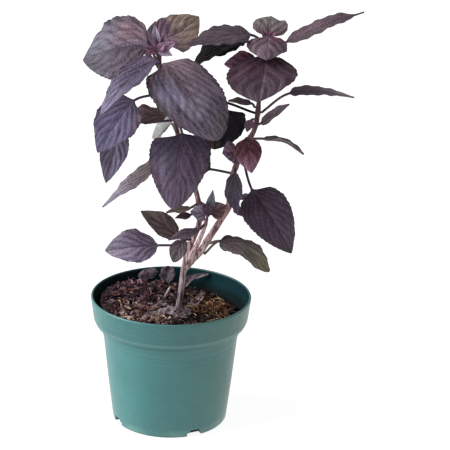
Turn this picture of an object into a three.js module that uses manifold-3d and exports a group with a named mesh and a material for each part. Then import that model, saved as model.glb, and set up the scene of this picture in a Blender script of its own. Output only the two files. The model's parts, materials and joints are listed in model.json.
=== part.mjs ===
// Purple basil growing in a round nursery pot.
// Millimetres, +Z up. The origin is the centre of the pot's flat underside and the front of the plant faces -Y.
import * as THREE from 'three';
import { mergeVertices } from 'three/addons/utils/BufferGeometryUtils.js';
import Module from 'manifold-3d';

const wasm = await Module();
wasm.setup();

const v = (x, y, z) => new THREE.Vector3(x, y, z);

// Pot
const POT_HEIGHT = 93;
const POT_SIDES = 48;
const BASE_RADIUS = 41;
const BASE_ROUNDING = 0.8;
const STEP_HEIGHT = 63.5;
const STEP_DEPTH = 0.45;
const SHOULDER_RADIUS = 49.2;
const SHOULDER_HEIGHT = 71.5;
const BAND_FOOT_RADIUS = 53.4;
const BAND_FOOT_HEIGHT = 73;
const BAND_CORNER_RADIUS = 54.9;
const BAND_CORNER_HEIGHT = 76.5;
const BAND_INSIDE_RADIUS = 51.8;
const BAND_INSIDE_HEIGHT = 75.3;
const RIM_RADIUS = 57;
const WALL = 1.5;
const FLOOR = 2;
const DRAIN_SLOTS = 4;
const DRAIN_FIRST_TURN = 28;
const DRAIN_WIDTH = 11.5;
const DRAIN_HEIGHT = 5;
const DRAIN_INNER_RADIUS = 35;

// Soil
const SOIL_LEVEL = 82;
const SOIL_RADIUS = 50.4;
const SOIL_LEDGE = 76;
const SOIL_RINGS = 7;
const SOIL_CLEARANCE = 0.3;
const SOIL_LEAST_DEPTH = 0.8;
// Its surface: the fall along X and Y, two mounds, and two sets of ripples
const SOIL_FALL = [-0.11, -0.03];
const SOIL_MOUNDS = [
  { x: -22, y: 18, height: 5, spread: 520 },
  { x: 30, y: 16, height: -3, spread: 300 },
];
const SOIL_RIPPLES = [0.9, 0.6];
const CHIPS = 20;
const CHIP_SPREAD = 44;
const CHIP_LENGTH = [4, 11];
const CHIP_WIDTH = [2, 5];
const CHIP_THICKNESS = 2.4;
const CHIP_TILT = 0.25;
const CHIP_RISE = 0.2;
const CHIP_FREE_RADIUS = 9;
const HOLE_CLEARANCE = 0.35;
const HOLE_LENGTH = 40;

// Stems: centre lines from foot to tip, with the radius at each end
const STEM_SIDES = 8;
const TRUNK_FOOT = v(5, -6, 66);
const STEMS = {
  trunk: {
    points: [TRUNK_FOOT, v(5.2, -6, 82), v(7, -5, 98), v(8.8, -4, 114), v(10.8, -4, 126)],
    foot: 2.3, tip: 2.15, steps: 8,
  },
  left: {
    points: [
      v(9.2, -4, 117), v(11, -4.2, 127), v(14.6, -5, 137), v(18.6, -6, 148), v(18.8, -5, 160), v(14.8, -3, 176),
      v(8.6, 0, 193), v(3.4, 0, 209), v(0.4, -3, 224), v(-3.6, -7, 239), v(-8, -12, 256), v(-10.8, -15, 271),
    ],
    foot: 2.1, tip: 1.2, steps: 26,
  },
  middle: {
    points: [v(9.4, -4, 117), v(14.2, -6.5, 126.5), v(19, -9, 137), v(22.4, -11, 147), v(24.2, -12, 155)],
    foot: 2, tip: 1.3, steps: 10,
  },
  right: {
    points: [
      v(9, -4, 114), v(14, -3, 120), v(19.8, -2, 126.5), v(26.4, 0, 137), v(34.4, 0, 151), v(39.2, 0, 160),
      v(39.8, 0, 172), v(42, -1, 185.5), v(46.6, -2, 198), v(51.8, -2, 209), v(55.6, 0, 217), v(57.2, 2, 226.6),
      v(58, 3, 238), v(60, 2, 252), v(61.6, 0, 265), v(62.4, -1, 277),
    ],
    foot: 2.5, tip: 1.2, steps: 30,
  },
};
for (const stem of Object.values(STEMS)) {
  stem.curve = new THREE.CatmullRomCurve3(stem.points, false, 'centripetal');
}

// The dead end of an earlier shoot, cut off short
const STUB_SIDES = 6;
const STUB = { points: [v(-7.5, 7, 74), v(-6.5, 7, 83), v(-0.8, 8, 96)], foot: 1.2, tip: 0.85, steps: 4 };

// Leaf stalks and blades
const STALK_RADIUS = 0.9;
const STALK_GAP = 0.35;
const STALK_FOOTING = 0.3;
const SHOOT_GAP = 1;
const BLADE_EDGE = 0.7;
const BLADE_RIB = 1.5;
const BLADE_COLUMNS = 4;
const BLADE_END = 0.4;
const TOOTH_DEPTH = 0.07;
const TOOTH_LEAN = 0.05;
const WAVES = 9;

const COLOURS = {
  pot: '#2f7f78',
  soil: '#2c1d15',
  stem: '#6b4a4c',
  leaf: '#4a3a4a',
  leafBrown: '#5a4038',
  leafLilac: '#6f6480',
  shoot: '#5f3f5c',
  stub: '#b59a78',
};

function seededRandom(seed) {
  let state = seed;
  return () => {
    state = (state * 16807) % 2147483647;
    return state / 2147483647;
  };
}

// Shapes as closed solids, so that they can be cut and fused
function welded(geometry) {
  const bare = geometry.clone();
  bare.deleteAttribute('normal');
  bare.deleteAttribute('uv');
  const merged = mergeVertices(bare);
  const index = merged.index.array;
  const kept = [];
  for (let i = 0; i < index.length; i += 3) {
    const [a, b, c] = [index[i], index[i + 1], index[i + 2]];
    if (a !== b && b !== c && c !== a) kept.push(a, b, c);
  }
  merged.setIndex(kept);
  return merged;
}

function solid(geometry) {
  const closed = welded(geometry);
  return new wasm.Manifold(new wasm.Mesh({
    numProp: 3,
    vertProperties: new Float32Array(closed.attributes.position.array),
    triVerts: new Uint32Array(closed.index.array),
  }));
}

function geometryOf(body) {
  const mesh = body.getMesh();
  const geometry = new THREE.BufferGeometry();
  geometry.setAttribute('position', new THREE.BufferAttribute(mesh.vertProperties, 3));
  geometry.setIndex(new THREE.BufferAttribute(mesh.triVerts, 1));
  geometry.computeVertexNormals();
  return geometry;
}

function fused(geometries) {
  return geometries.map(solid).reduce((whole, piece) => whole.add(piece));
}

// A profile of [radius, height] corners turned about Z
function turned(profile, sides) {
  const geometry = new THREE.LatheGeometry(profile.map(([r, z]) => new THREE.Vector2(r, z)), sides);
  geometry.rotateX(Math.PI / 2);
  return geometry;
}

// A cylinder bent along a smooth curve, tapering from foot to tip
function bentCylinder(stem, sides) {
  const curve = stem.curve ?? new THREE.CatmullRomCurve3(stem.points, false, 'centripetal');
  const frames = curve.computeFrenetFrames(stem.steps, false);
  const geometry = new THREE.CylinderGeometry(stem.tip, stem.foot, 1, sides, stem.steps);
  const place = geometry.attributes.position;
  for (let i = 0; i < place.count; i += 1) {
    const ring = Math.round((place.getY(i) + 0.5) * stem.steps);
    const spot = curve.getPointAt(ring / stem.steps);
    spot.addScaledVector(frames.normals[ring], place.getZ(i));
    spot.addScaledVector(frames.binormals[ring], place.getX(i));
    place.setXYZ(i, spot.x, spot.y, spot.z);
  }
  return geometry;
}

// Pot: a tapered wall with a slight step, a shoulder, a flared band, and drainage slots round the foot
function wallRadius(z) {
  return BASE_RADIUS + ((SHOULDER_RADIUS - BASE_RADIUS) * z) / SHOULDER_HEIGHT;
}

function potGeometry() {
  const profile = [
    [0, 0],
    [BASE_RADIUS - BASE_ROUNDING, 0],
    [BASE_RADIUS, BASE_ROUNDING],
    [wallRadius(STEP_HEIGHT) - STEP_DEPTH, STEP_HEIGHT],
    [wallRadius(STEP_HEIGHT + STEP_DEPTH), STEP_HEIGHT + STEP_DEPTH],
    [SHOULDER_RADIUS, SHOULDER_HEIGHT],
    [BAND_FOOT_RADIUS, BAND_FOOT_HEIGHT],
    [BAND_CORNER_RADIUS, BAND_CORNER_HEIGHT],
    [RIM_RADIUS - 0.3, POT_HEIGHT - 2.4],
    [RIM_RADIUS, POT_HEIGHT - 1],
    [RIM_RADIUS - 0.7, POT_HEIGHT],
    [RIM_RADIUS - 1.6, POT_HEIGHT - 0.3],
    [RIM_RADIUS - 0.4 - WALL, POT_HEIGHT - 2],
    [BAND_INSIDE_RADIUS, BAND_INSIDE_HEIGHT],
    [SHOULDER_RADIUS - WALL, SHOULDER_HEIGHT + WALL * 0.6],
    [wallRadius(FLOOR) - WALL, FLOOR],
    [0, FLOOR],
  ];
  let body = solid(turned(profile, POT_SIDES));
  const reach = BASE_RADIUS + 5 - DRAIN_INNER_RADIUS;
  for (let i = 0; i < DRAIN_SLOTS; i += 1) {
    const slot = new THREE.BoxGeometry(reach, DRAIN_WIDTH, DRAIN_HEIGHT * 2);
    slot.translate(DRAIN_INNER_RADIUS + reach / 2, 0, 0);
    slot.rotateZ(THREE.MathUtils.degToRad(DRAIN_FIRST_TURN + (i * 360) / DRAIN_SLOTS));
    body = body.subtract(solid(slot));
  }
  return geometryOf(body);
}

// Soil: lower towards the right, heaped at the back left, with bark chips in it and a hole for each stem
function soilHeight(x, y) {
  const fall = SOIL_FALL[0] * (x - TRUNK_FOOT.x) + SOIL_FALL[1] * y;
  const mound = (each) => each.height * Math.exp(-((x - each.x) ** 2 + (y - each.y) ** 2) / each.spread);
  const mounds = SOIL_MOUNDS.reduce((sum, each) => sum + mound(each), 0);
  const coarse = SOIL_RIPPLES[0] * Math.sin(x * 0.42 + 1.3) * Math.cos(y * 0.37);
  const fine = SOIL_RIPPLES[1] * Math.sin(x * 0.23 - y * 0.51);
  return Math.max(SOIL_LEVEL + fall + mounds + coarse + fine, SOIL_LEDGE + SOIL_LEAST_DEPTH);
}

function soilChip(random) {
  const between = ([low, high]) => low + (high - low) * random();
  const angle = random() * 2 * Math.PI;
  const radius = CHIP_SPREAD * Math.sqrt(0.05 + 0.9 * random());
  const [x, y] = [radius * Math.cos(angle), radius * Math.sin(angle)];
  const chip = new THREE.BoxGeometry(between(CHIP_LENGTH), between(CHIP_WIDTH), CHIP_THICKNESS);
  chip.rotateX((2 * random() - 1) * CHIP_TILT);
  chip.rotateY((2 * random() - 1) * CHIP_TILT);
  chip.rotateZ(random() * Math.PI);
  chip.translate(x, y, soilHeight(x, y) + CHIP_RISE);
  return { chip, fromTrunk: Math.hypot(x - TRUNK_FOOT.x, y - TRUNK_FOOT.y) };
}

function soilGeometry() {
  const floor = FLOOR + SOIL_CLEARANCE;
  const profile = [
    [0, floor],
    [wallRadius(FLOOR) - WALL - SOIL_CLEARANCE, floor],
    [SHOULDER_RADIUS - WALL - SOIL_CLEARANCE, SHOULDER_HEIGHT + 2],
    [SOIL_RADIUS - 2.2, SOIL_LEDGE],
  ];
  for (let ring = SOIL_RINGS; ring >= 0; ring -= 1) {
    profile.push([(SOIL_RADIUS * ring) / SOIL_RINGS, SOIL_LEVEL]);
  }
  const geometry = turned(profile, POT_SIDES);
  const place = geometry.attributes.position;
  for (let i = 0; i < place.count; i += 1) {
    const onTop = Math.abs(place.getZ(i) - SOIL_LEVEL) < 0.01;
    if (onTop) place.setZ(i, soilHeight(place.getX(i), place.getY(i)));
  }
  const holeRadius = (STEMS.trunk.foot + HOLE_CLEARANCE) / Math.cos(Math.PI / STEM_SIDES);
  const trunkHole = new THREE.CylinderGeometry(holeRadius, holeRadius, HOLE_LENGTH, 2 * STEM_SIDES);
  trunkHole.rotateX(Math.PI / 2);
  trunkHole.translate(TRUNK_FOOT.x + 0.1, TRUNK_FOOT.y, TRUNK_FOOT.z - HOLE_CLEARANCE + HOLE_LENGTH / 2);
  const [foot, ...rest] = STUB.points;
  const stubRadius = STUB.foot + HOLE_CLEARANCE + 0.15;
  const stubPath = [foot.clone().setZ(foot.z - HOLE_CLEARANCE), ...rest];
  const stubHole = { points: stubPath, foot: stubRadius, tip: stubRadius, steps: STUB.steps };
  let body = solid(geometry).subtract(solid(trunkHole)).subtract(solid(bentCylinder(stubHole, STEM_SIDES)));
  const random = seededRandom(41);
  for (let i = 0; i < CHIPS; i += 1) {
    const { chip, fromTrunk } = soilChip(random);
    if (fromTrunk > CHIP_FREE_RADIUS) body = body.add(solid(chip));
  }
  return geometryOf(body);
}

// Leaves: a flat grid shaped twice, as upper face and under face, and closed by a narrow rim
function skin(columns, rows, shape) {
  const sheet = new THREE.PlaneGeometry(2, 1, columns, rows);
  const place = sheet.attributes.position;
  const upper = [];
  const under = [];
  for (let i = 0; i < place.count; i += 1) {
    const row = Math.round((0.5 - place.getY(i)) * rows);
    upper.push(...shape(place.getX(i), row, 0).toArray());
    under.push(...shape(place.getX(i), row, 1).toArray());
  }
  const count = place.count;
  const triangles = sheet.index.array;
  const index = [];
  const open = new Map();
  for (let i = 0; i < triangles.length; i += 3) {
    const corner = [triangles[i], triangles[i + 1], triangles[i + 2]];
    index.push(...corner, corner[0] + count, corner[2] + count, corner[1] + count);
    for (let k = 0; k < 3; k += 1) {
      const [a, b] = [corner[k], corner[(k + 1) % 3]];
      if (!open.delete(`${b},${a}`)) open.set(`${a},${b}`, [a, b]);
    }
  }
  for (const [a, b] of open.values()) index.push(b, a, a + count, b, a + count, b + count);
  const geometry = new THREE.BufferGeometry();
  geometry.setAttribute('position', new THREE.Float32BufferAttribute([...upper, ...under], 3));
  geometry.setIndex(index);
  geometry.computeVertexNormals();
  return geometry;
}

// Half width of the blade, from its base at 0 to its tip at 1. A tail below 1 draws the end in to a long point
function outline(s, blunt, full, tail) {
  const past = THREE.MathUtils.smoothstep(s, 0.78, 0.9);
  return Math.sin(Math.PI * Math.min(s, 1) ** blunt) ** full * (1 - (1 - tail) * past);
}

function stemAtHeight(stem, height) {
  let best = { miss: Infinity };
  for (let i = 0; i <= 400; i += 1) {
    const centre = stem.curve.getPointAt(i / 400);
    const miss = Math.abs(centre.z - height);
    const radius = stem.foot + ((stem.tip - stem.foot) * i) / 400;
    if (miss < best.miss) best = { miss, centre, radius, tangent: stem.curve.getTangentAt(i / 400) };
  }
  return best;
}

// The foot of a leaf stalk, a narrow gap away from the skin of its stem
function leafStart(leaf) {
  if (leaf.from) return leaf.from.clone();
  const node = stemAtHeight(STEMS[leaf.on], leaf.at);
  const reach = leaf.base.clone().sub(node.centre);
  reach.addScaledVector(node.tangent, -reach.dot(node.tangent)).normalize();
  const start = node.centre.clone().addScaledVector(reach, node.radius);
  const climb = Math.abs(leaf.base.clone().sub(start).normalize().dot(node.tangent));
  return start.addScaledVector(reach, STALK_GAP + STALK_RADIUS * climb);
}

function leafGeometry(leaf) {
  const {
    rows = 10, stalkRows = 2, columns = BLADE_COLUMNS, blunt = 0.7, full = 0.8,
    arch = 0, fold = 0.12, curl = 0, wave = 1, skew = 0, tail = 1,
  } = leaf;
  const along = leaf.tip.clone().sub(leaf.base).normalize();
  const face = leaf.face.clone().addScaledVector(along, -leaf.face.dot(along)).normalize();
  const middle = leaf.base.clone().lerp(leaf.tip, 0.5).addScaledVector(face, arch);
  const midrib = [leafStart(leaf), leaf.base, middle, leaf.tip];
  const spine = new THREE.CatmullRomCurve3(midrib, false, 'centripetal');
  const half = leaf.width / 2;
  const shape = (u, row, isUnder) => {
    const s = (row - stalkRows) / rows;
    const onStalk = s < 0;
    const t = onStalk ? row / stalkRows / 3 : (1 + s * 2) / 3;
    const centre = spine.getPoint(t);
    const tangent = spine.getTangent(t);
    const side = new THREE.Vector3().crossVectors(face, tangent);
    if (side.length() < 0.2) side.crossVectors(face, along);
    side.addScaledVector(tangent, -side.dot(tangent)).normalize();
    const up = new THREE.Vector3().crossVectors(tangent, side);
    const edge = Math.abs(u);
    if (onStalk) {
      const round = STALK_RADIUS * (1 - edge * edge);
      const height = isUnder ? -round - STALK_FOOTING : round;
      return centre.addScaledVector(side, u * STALK_RADIUS).addScaledVector(up, height);
    }
    const spread = outline(s, blunt, full, tail);
    const toothed = row % 2 === 0 && s > 0.05 && s < 0.98;
    const blade = half * spread * (toothed ? 1 - TOOTH_DEPTH : 1);
    const reach = Math.max(blade, s === 1 ? BLADE_END : STALK_RADIUS);
    const ripple = wave * Math.sin(WAVES * s + (u > 0 ? 1 : 3)) * edge * edge * Math.min(blade / half, 1);
    const lift = reach * (fold * edge + curl * edge * edge) + ripple;
    const depth = BLADE_EDGE + (BLADE_RIB - BLADE_EDGE) * (1 - edge) ** 2;
    const lean = toothed || s > 0.95 ? 0 : half * TOOTH_LEAN * edge * spread;
    return centre
      .addScaledVector(side, u * reach)
      .addScaledVector(up, lift - isUnder * depth)
      .addScaledVector(tangent, lean + skew * u * reach);
  };
  return skin(columns, stalkRows + rows, shape);
}

// Each leaf: the stem and height it grows from, the ends of its midrib, where its upper face looks, its width
const LEAVES = [
  // Crown of the left stem
  { name: 'leaf_left_crown_outer', on: 'left', at: 268, base: v(-17.3, -14, 275.5), tip: v(-62, -2, 262.3),
    face: v(-0.1, -0.75, 0.65), width: 49, arch: 7, curl: -0.12, rows: 12, blunt: 0.66 },
  { name: 'leaf_left_crown_back', on: 'left', at: 266, base: v(-9, -6, 277.2), tip: v(15.5, 13, 291),
    face: v(-0.25, -0.85, 0.4), width: 31, arch: -2, fold: 0, rows: 10, colour: 'leafBrown' },
  { name: 'leaf_left_crown_small', on: 'left', at: 269.5, base: v(-15, 0.5, 271.5), tip: v(-14, 12, 287.3),
    face: v(-0.1, -1, 0.3), width: 12, fold: 0.1, rows: 6, wave: 0.5 },
  { name: 'leaf_left_crown_narrow', on: 'left', at: 264, base: v(-12, -21.5, 269), tip: v(-47, -45, 236.5),
    face: v(-0.45, -0.65, 0.6), width: 20, arch: 4, fold: 0.3, rows: 10, colour: 'leafLilac' },
  { name: 'leaf_left_front_large', on: 'left', at: 260, base: v(-6, -21, 266), tip: v(30.5, -40, 219.5),
    face: v(0.1, -0.9, 0.4), width: 44, arch: 7, curl: -0.15, rows: 14, blunt: 0.78, full: 0.6, skew: 0.3 },

  // Second tier of the left stem
  { name: 'leaf_left_hanging', on: 'left', at: 243, base: v(-26, -15, 239), tip: v(-50, -30, 206),
    face: v(-0.3, -0.85, 0.3), width: 32, arch: 4, stalkRows: 4, rows: 12 },
  { name: 'leaf_left_brown', on: 'left', at: 228, base: v(-5, -5, 226), tip: v(-36, -9, 222),
    face: v(0, -0.3, 1), width: 22, arch: 2, rows: 8, colour: 'leafBrown' },
  { name: 'leaf_left_low_tip', on: 'left', at: 222, base: v(-36, 4, 214), tip: v(-45.5, -14, 179.5),
    face: v(-0.1, -0.9, 0.2), width: 20, arch: 3, stalkRows: 4, rows: 10 },
  { name: 'leaf_centre_large', on: 'left', at: 224, base: v(6, -14, 216.5), tip: v(1.5, -33, 168),
    face: v(0, -0.95, 0.3), width: 42.5, arch: 5, curl: -0.1, rows: 14, blunt: 0.54, full: 0.62 },
  { name: 'leaf_left_pale', on: 'left', at: 213, base: v(-2, 5, 217.5), tip: v(-15.2, 22, 205.3),
    face: v(-0.2, -0.7, 0.7), width: 22, arch: 2, rows: 8, colour: 'leafLilac' },
  { name: 'leaf_left_back_upper', on: 'left', at: 250, base: v(1, 6, 249.5), tip: v(14, 42, 233),
    face: v(0, 0.3, 1), width: 30, arch: 5, rows: 10 },
  { name: 'leaf_left_back_crown', on: 'left', at: 258, base: v(-17, 4, 265), tip: v(-42, 34, 262),
    face: v(0, 0.2, 1), width: 28, arch: 5, rows: 10 },

  // Third tier of the left stem
  { name: 'leaf_left_slender', on: 'left', at: 194, base: v(-5, 2, 192.5), tip: v(-48.5, -8, 160),
    face: v(-0.3, -0.35, 0.9), width: 16, fold: 0.3, rows: 10, blunt: 0.6 },
  { name: 'leaf_left_back_middle', on: 'left', at: 196, base: v(5, 12, 195), tip: v(-6, 46, 181),
    face: v(0, 0.3, 1), width: 28, arch: 5, rows: 10 },
  { name: 'leaf_left_olive', on: 'left', at: 163, base: v(13, -9, 161.5), tip: v(-4, -14, 159.3),
    face: v(0, -0.2, 1), width: 9, rows: 6, wave: 0.5, colour: 'leafBrown', columns: 2 },
  { name: 'leaf_left_young', on: 'left', at: 157, base: v(13, -9, 156.3), tip: v(2.5, -14, 155.5),
    face: v(0, -0.6, 0.8), width: 6, rows: 6, wave: 0.3, colour: 'leafBrown', columns: 2 },

  // Low leaves
  { name: 'leaf_low_left', on: 'left', at: 131, base: v(-8.8, -8, 132.7), tip: v(-45.5, -20, 132),
    face: v(0, -0.75, 0.65), width: 25, arch: 3, stalkRows: 3, rows: 12, full: 0.75, blunt: 0.9 },
  { name: 'leaf_low_left_upper', on: 'left', at: 132, base: v(4, 1, 136.5), tip: v(-22.5, 7, 152.5),
    face: v(0.2, -0.6, 0.5), width: 17, arch: 2, rows: 10, colour: 'leafBrown' },
  { name: 'leaf_low_small', on: 'left', at: 137, base: v(8.2, -11.5, 137.8), tip: v(1.8, -19, 124.5),
    face: v(-0.3, -0.9, 0.2), width: 12.5, arch: 2, rows: 8, blunt: 0.8, full: 0.6 },
  { name: 'leaf_low_crinkled', on: 'middle', at: 150, base: v(19.5, -15.5, 148.2), tip: v(-2, -22, 142),
    face: v(-0.2, -0.7, 0.7), width: 8, rows: 7, wave: 1.2, columns: 2 },
  { name: 'leaf_low_right', on: 'right', at: 134, base: v(33, -8, 137.1), tip: v(68.6, -23.5, 121.2),
    face: v(0.25, -0.35, 0.9), width: 22, arch: 8, curl: -0.2, stalkRows: 3, rows: 12, blunt: 0.85, full: 0.6 },
  { name: 'leaf_low_right_lower', on: 'right', at: 127, base: v(33, -3, 135), tip: v(61.3, -13, 121),
    face: v(0.2, -0.45, 0.9), width: 14, arch: 5, stalkRows: 3, rows: 10, colour: 'leafBrown' },

  // Second tier of the right stem
  { name: 'leaf_right_large', on: 'right', at: 196, base: v(54.5, -5, 175), tip: v(83.3, -18, 133),
    face: v(0.2, -0.9, 0.3), width: 34, arch: 4, stalkRows: 4, rows: 14, blunt: 0.66 },
  { name: 'leaf_right_hanging', on: 'right', at: 189, base: v(42.8, -6.8, 187), tip: v(45.5, -16, 159),
    face: v(-0.75, -0.6, 0.2), width: 17, arch: 2, rows: 10 },
  { name: 'leaf_centre_back', on: 'right', at: 184, base: v(26, 7, 184.5), tip: v(8, 20, 178),
    face: v(0, -0.5, 0.8), width: 18, arch: 2, stalkRows: 4, rows: 8 },
  { name: 'leaf_right_back_low', on: 'right', at: 165, base: v(50, 9, 163), tip: v(69, 36, 150),
    face: v(0, 0.3, 1), width: 24, arch: 4, rows: 10 },
  { name: 'leaf_right_node_small', on: 'right', at: 161, base: v(43, -3, 160.5), tip: v(50.5, -9, 156),
    face: v(0, -0.6, 0.8), width: 7, rows: 4, wave: 0.4, columns: 2 },

  // Third tier of the right stem
  { name: 'leaf_right_thin', on: 'right', at: 211, base: v(61, 0, 209.8), tip: v(90, -4, 200.8),
    face: v(0, 0.2, 0.98), width: 20, arch: 4, rows: 10, wave: 0.5 },
  { name: 'leaf_right_red', on: 'right', at: 210, base: v(49.5, -9, 212), tip: v(54, -24, 192.5),
    face: v(0, -0.9, 0.3), width: 19.5, arch: 3, fold: -0.15, rows: 10, colour: 'leafBrown' },
  { name: 'leaf_right_red_side', on: 'right', at: 199, base: v(44.2, -6.5, 201.2), tip: v(34, -14, 203),
    face: v(-0.2, -0.8, 0.5), width: 18, rows: 6, wave: 0.5, columns: 2 },

  // Fourth tier of the right stem
  { name: 'leaf_centre_shaded', on: 'right', at: 227, base: v(30.5, 6, 232.5), tip: v(28, 2, 200.5),
    face: v(0, -1, 0.2), width: 41, arch: 3, stalkRows: 4, rows: 10, blunt: 0.66, full: 0.72 },
  { name: 'leaf_right_narrow', on: 'right', at: 228, base: v(77, 2, 241.3), tip: v(123.3, 8, 238.8),
    face: v(0, -0.25, 1), width: 14, arch: 3, stalkRows: 4, rows: 12, blunt: 0.62, wave: 0, full: 1 },
  { name: 'leaf_right_young', on: 'right', at: 220, base: v(59.3, -3.6, 221.6), tip: v(78, -9, 237.4),
    face: v(-0.3, -0.4, 0.8), width: 11, rows: 8, colour: 'leafBrown', wave: 0.4 },
  { name: 'leaf_right_bud_lower', on: 'right', at: 223, base: v(53, -4, 224), tip: v(50, -7, 216.5),
    face: v(-0.6, -0.7, 0.1), width: 8, rows: 5, wave: 0.4, columns: 2 },
  { name: 'leaf_right_bud_upper', on: 'right', at: 231, base: v(53, 2, 234), tip: v(37, -2, 237),
    face: v(0, -0.2, 1), width: 11, rows: 6, wave: 0.4, columns: 2 },
  { name: 'leaf_right_back_upper', on: 'right', at: 247, base: v(60, 12, 248), tip: v(66, 44, 238),
    face: v(0, 0.3, 1), width: 28, arch: 5, rows: 10 },

  // Fifth tier of the right stem
  { name: 'leaf_right_front_large', on: 'right', at: 264, base: v(61, -8, 270), tip: v(56.5, -38, 246),
    face: v(0.05, -0.7, 0.8), width: 47.5, arch: 5, curl: -0.1, rows: 12, blunt: 1.05, skew: -0.22, full: 0.9 },
  { name: 'leaf_right_front_side', on: 'right', at: 262, base: v(56, -1.5, 262), tip: v(33.5, -5, 263),
    face: v(0, -0.75, 0.65), width: 19, fold: 0.2, rows: 8 },

  // Crown of the right stem
  { name: 'leaf_right_crown_left', on: 'right', at: 277, base: v(51.6, -2.8, 282.8), tip: v(8.5, -9, 276.5),
    face: v(0, -0.2, 1), width: 32, arch: 3, curl: -0.1, rows: 12, wave: 0.3 },
  { name: 'leaf_right_crown_under', on: 'right', at: 274, base: v(49, 6.5, 276), tip: v(10.8, 7, 256.8),
    face: v(-0.2, -0.2, 1), width: 31, arch: 4, rows: 10, blunt: 0.8, skew: -0.15, wave: 0.4 },
  { name: 'leaf_right_crown_back', on: 'right', at: 277.5, base: v(63.5, 2.5, 280.5), tip: v(64.6, 20, 291),
    face: v(0, -0.75, 0.65), width: 24.5, arch: 3, fold: 0, rows: 8, colour: 'leafBrown' },
  { name: 'leaf_right_crown_front', on: 'right', at: 276, base: v(62, -7, 283), tip: v(61.3, -23, 271),
    face: v(0, -0.8, 0.6), width: 28, arch: 1, fold: -0.1, rows: 8, colour: 'leafLilac' },
  { name: 'leaf_right_crown_long', on: 'right', at: 275, base: v(73.5, 0, 277.4), tip: v(127, 10, 298),
    face: v(-0.3, -0.3, 0.9), width: 18, arch: 1.5, wave: 0.8, stalkRows: 3, rows: 14, blunt: 0.85, full: 0.9,
    tail: 0.2 },
];

// Growing tips: small blades fused where they leave the end of a stem
const TIPS = [
  { name: 'tip_left', on: 'left', blades: [
    { tip: v(-13.4, -14, 290.6), width: 6.5, face: v(0, -1, 0.1) },
    { tip: v(-17.6, -16, 286.8), width: 3.6, face: v(-0.2, -1, 0.1) },
    { tip: v(1.2, -18, 280.4), width: 6.5, face: v(0.2, -0.9, 0.4) },
    { tip: v(-1.3, -20, 271.9), width: 6.5, face: v(0.2, -0.8, 0.6) },
    { tip: v(-22, -18, 276.3), width: 5, face: v(-0.2, -0.8, 0.5) },
    { tip: v(-19, -20.5, 272.6), width: 4, face: v(-0.3, -0.8, 0.5) },
    { tip: v(-5.7, -14, 285.3), width: 7, face: v(0, -1, 0.1) },
    { tip: v(-6.2, -20, 280.4), width: 5.5, face: v(0.1, -0.9, 0.4) },
  ] },
  { name: 'tip_middle', on: 'middle', blades: [
    { tip: v(13, -19, 162), width: 12, face: v(-0.2, -0.8, 0.5) },
    { tip: v(19.2, -14, 168), width: 7, face: v(-0.1, -1, 0.1) },
    { tip: v(25, -16, 166.5), width: 7, face: v(0, -0.9, 0.3) },
    { tip: v(28, -14, 176), width: 6.5, face: v(0.2, -1, 0.1) },
    { tip: v(37.5, -11, 164.5), width: 13, face: v(0, -0.9, 0.4) },
  ] },
  { name: 'tip_right', on: 'right', blades: [
    { tip: v(67, -4, 287), width: 5, face: v(0, -0.9, 0.3) },
    { tip: v(58.5, -3, 287), width: 5, face: v(0, -0.9, 0.3) },
  ] },
];

function tipGeometry(tip) {
  const stem = STEMS[tip.on];
  const heading = stem.curve.getTangentAt(1);
  const from = stem.points.at(-1).clone().addScaledVector(heading, SHOOT_GAP);
  const blades = tip.blades.map((blade) => {
    const base = from.clone().addScaledVector(heading, 1.5).lerp(blade.tip, 0.12);
    return leafGeometry({ fold: 0.25, wave: 0.3, rows: 4, stalkRows: 1, columns: 2, ...blade, from, base });
  });
  return geometryOf(fused(blades));
}

// Assembly
const basil = new THREE.Group();

function addPiece(name, geometry, colour, roughness) {
  const material = new THREE.MeshStandardMaterial({ color: colour, roughness, metalness: 0 });
  const mesh = new THREE.Mesh(geometry, material);
  mesh.name = name;
  basil.add(mesh);
}

const stemTubes = Object.values(STEMS).map((stem) => bentCylinder(stem, STEM_SIDES));
addPiece('pot', potGeometry(), COLOURS.pot, 0.45);
addPiece('soil', soilGeometry(), COLOURS.soil, 0.95);
addPiece('stems', geometryOf(fused(stemTubes)), COLOURS.stem, 0.6);
addPiece('cut_stub', bentCylinder(STUB, STUB_SIDES), COLOURS.stub, 0.8);
for (const leaf of LEAVES) addPiece(leaf.name, leafGeometry(leaf), COLOURS[leaf.colour ?? 'leaf'], 0.5);
for (const tip of TIPS) addPiece(tip.name, tipGeometry(tip), COLOURS.shoot, 0.5);

export default basil;
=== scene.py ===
# %% [markdown]
# # A purple basil plant in a green nursery pot
# This lesson dresses a plain CAD plant until it looks alive. The CAD part arrives as a frame of named
# nodes: one pot, one body of soil, one branching stem, a dry stub, 43 leaves and 3 growing tips. Each node
# is hidden in turn and a finer piece of the same form takes its place. Loading the frame comes first,
# because every later piece is set against it. Pieces are drawn in millimetres, and MM turns those into
# Blender's metres.

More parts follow.
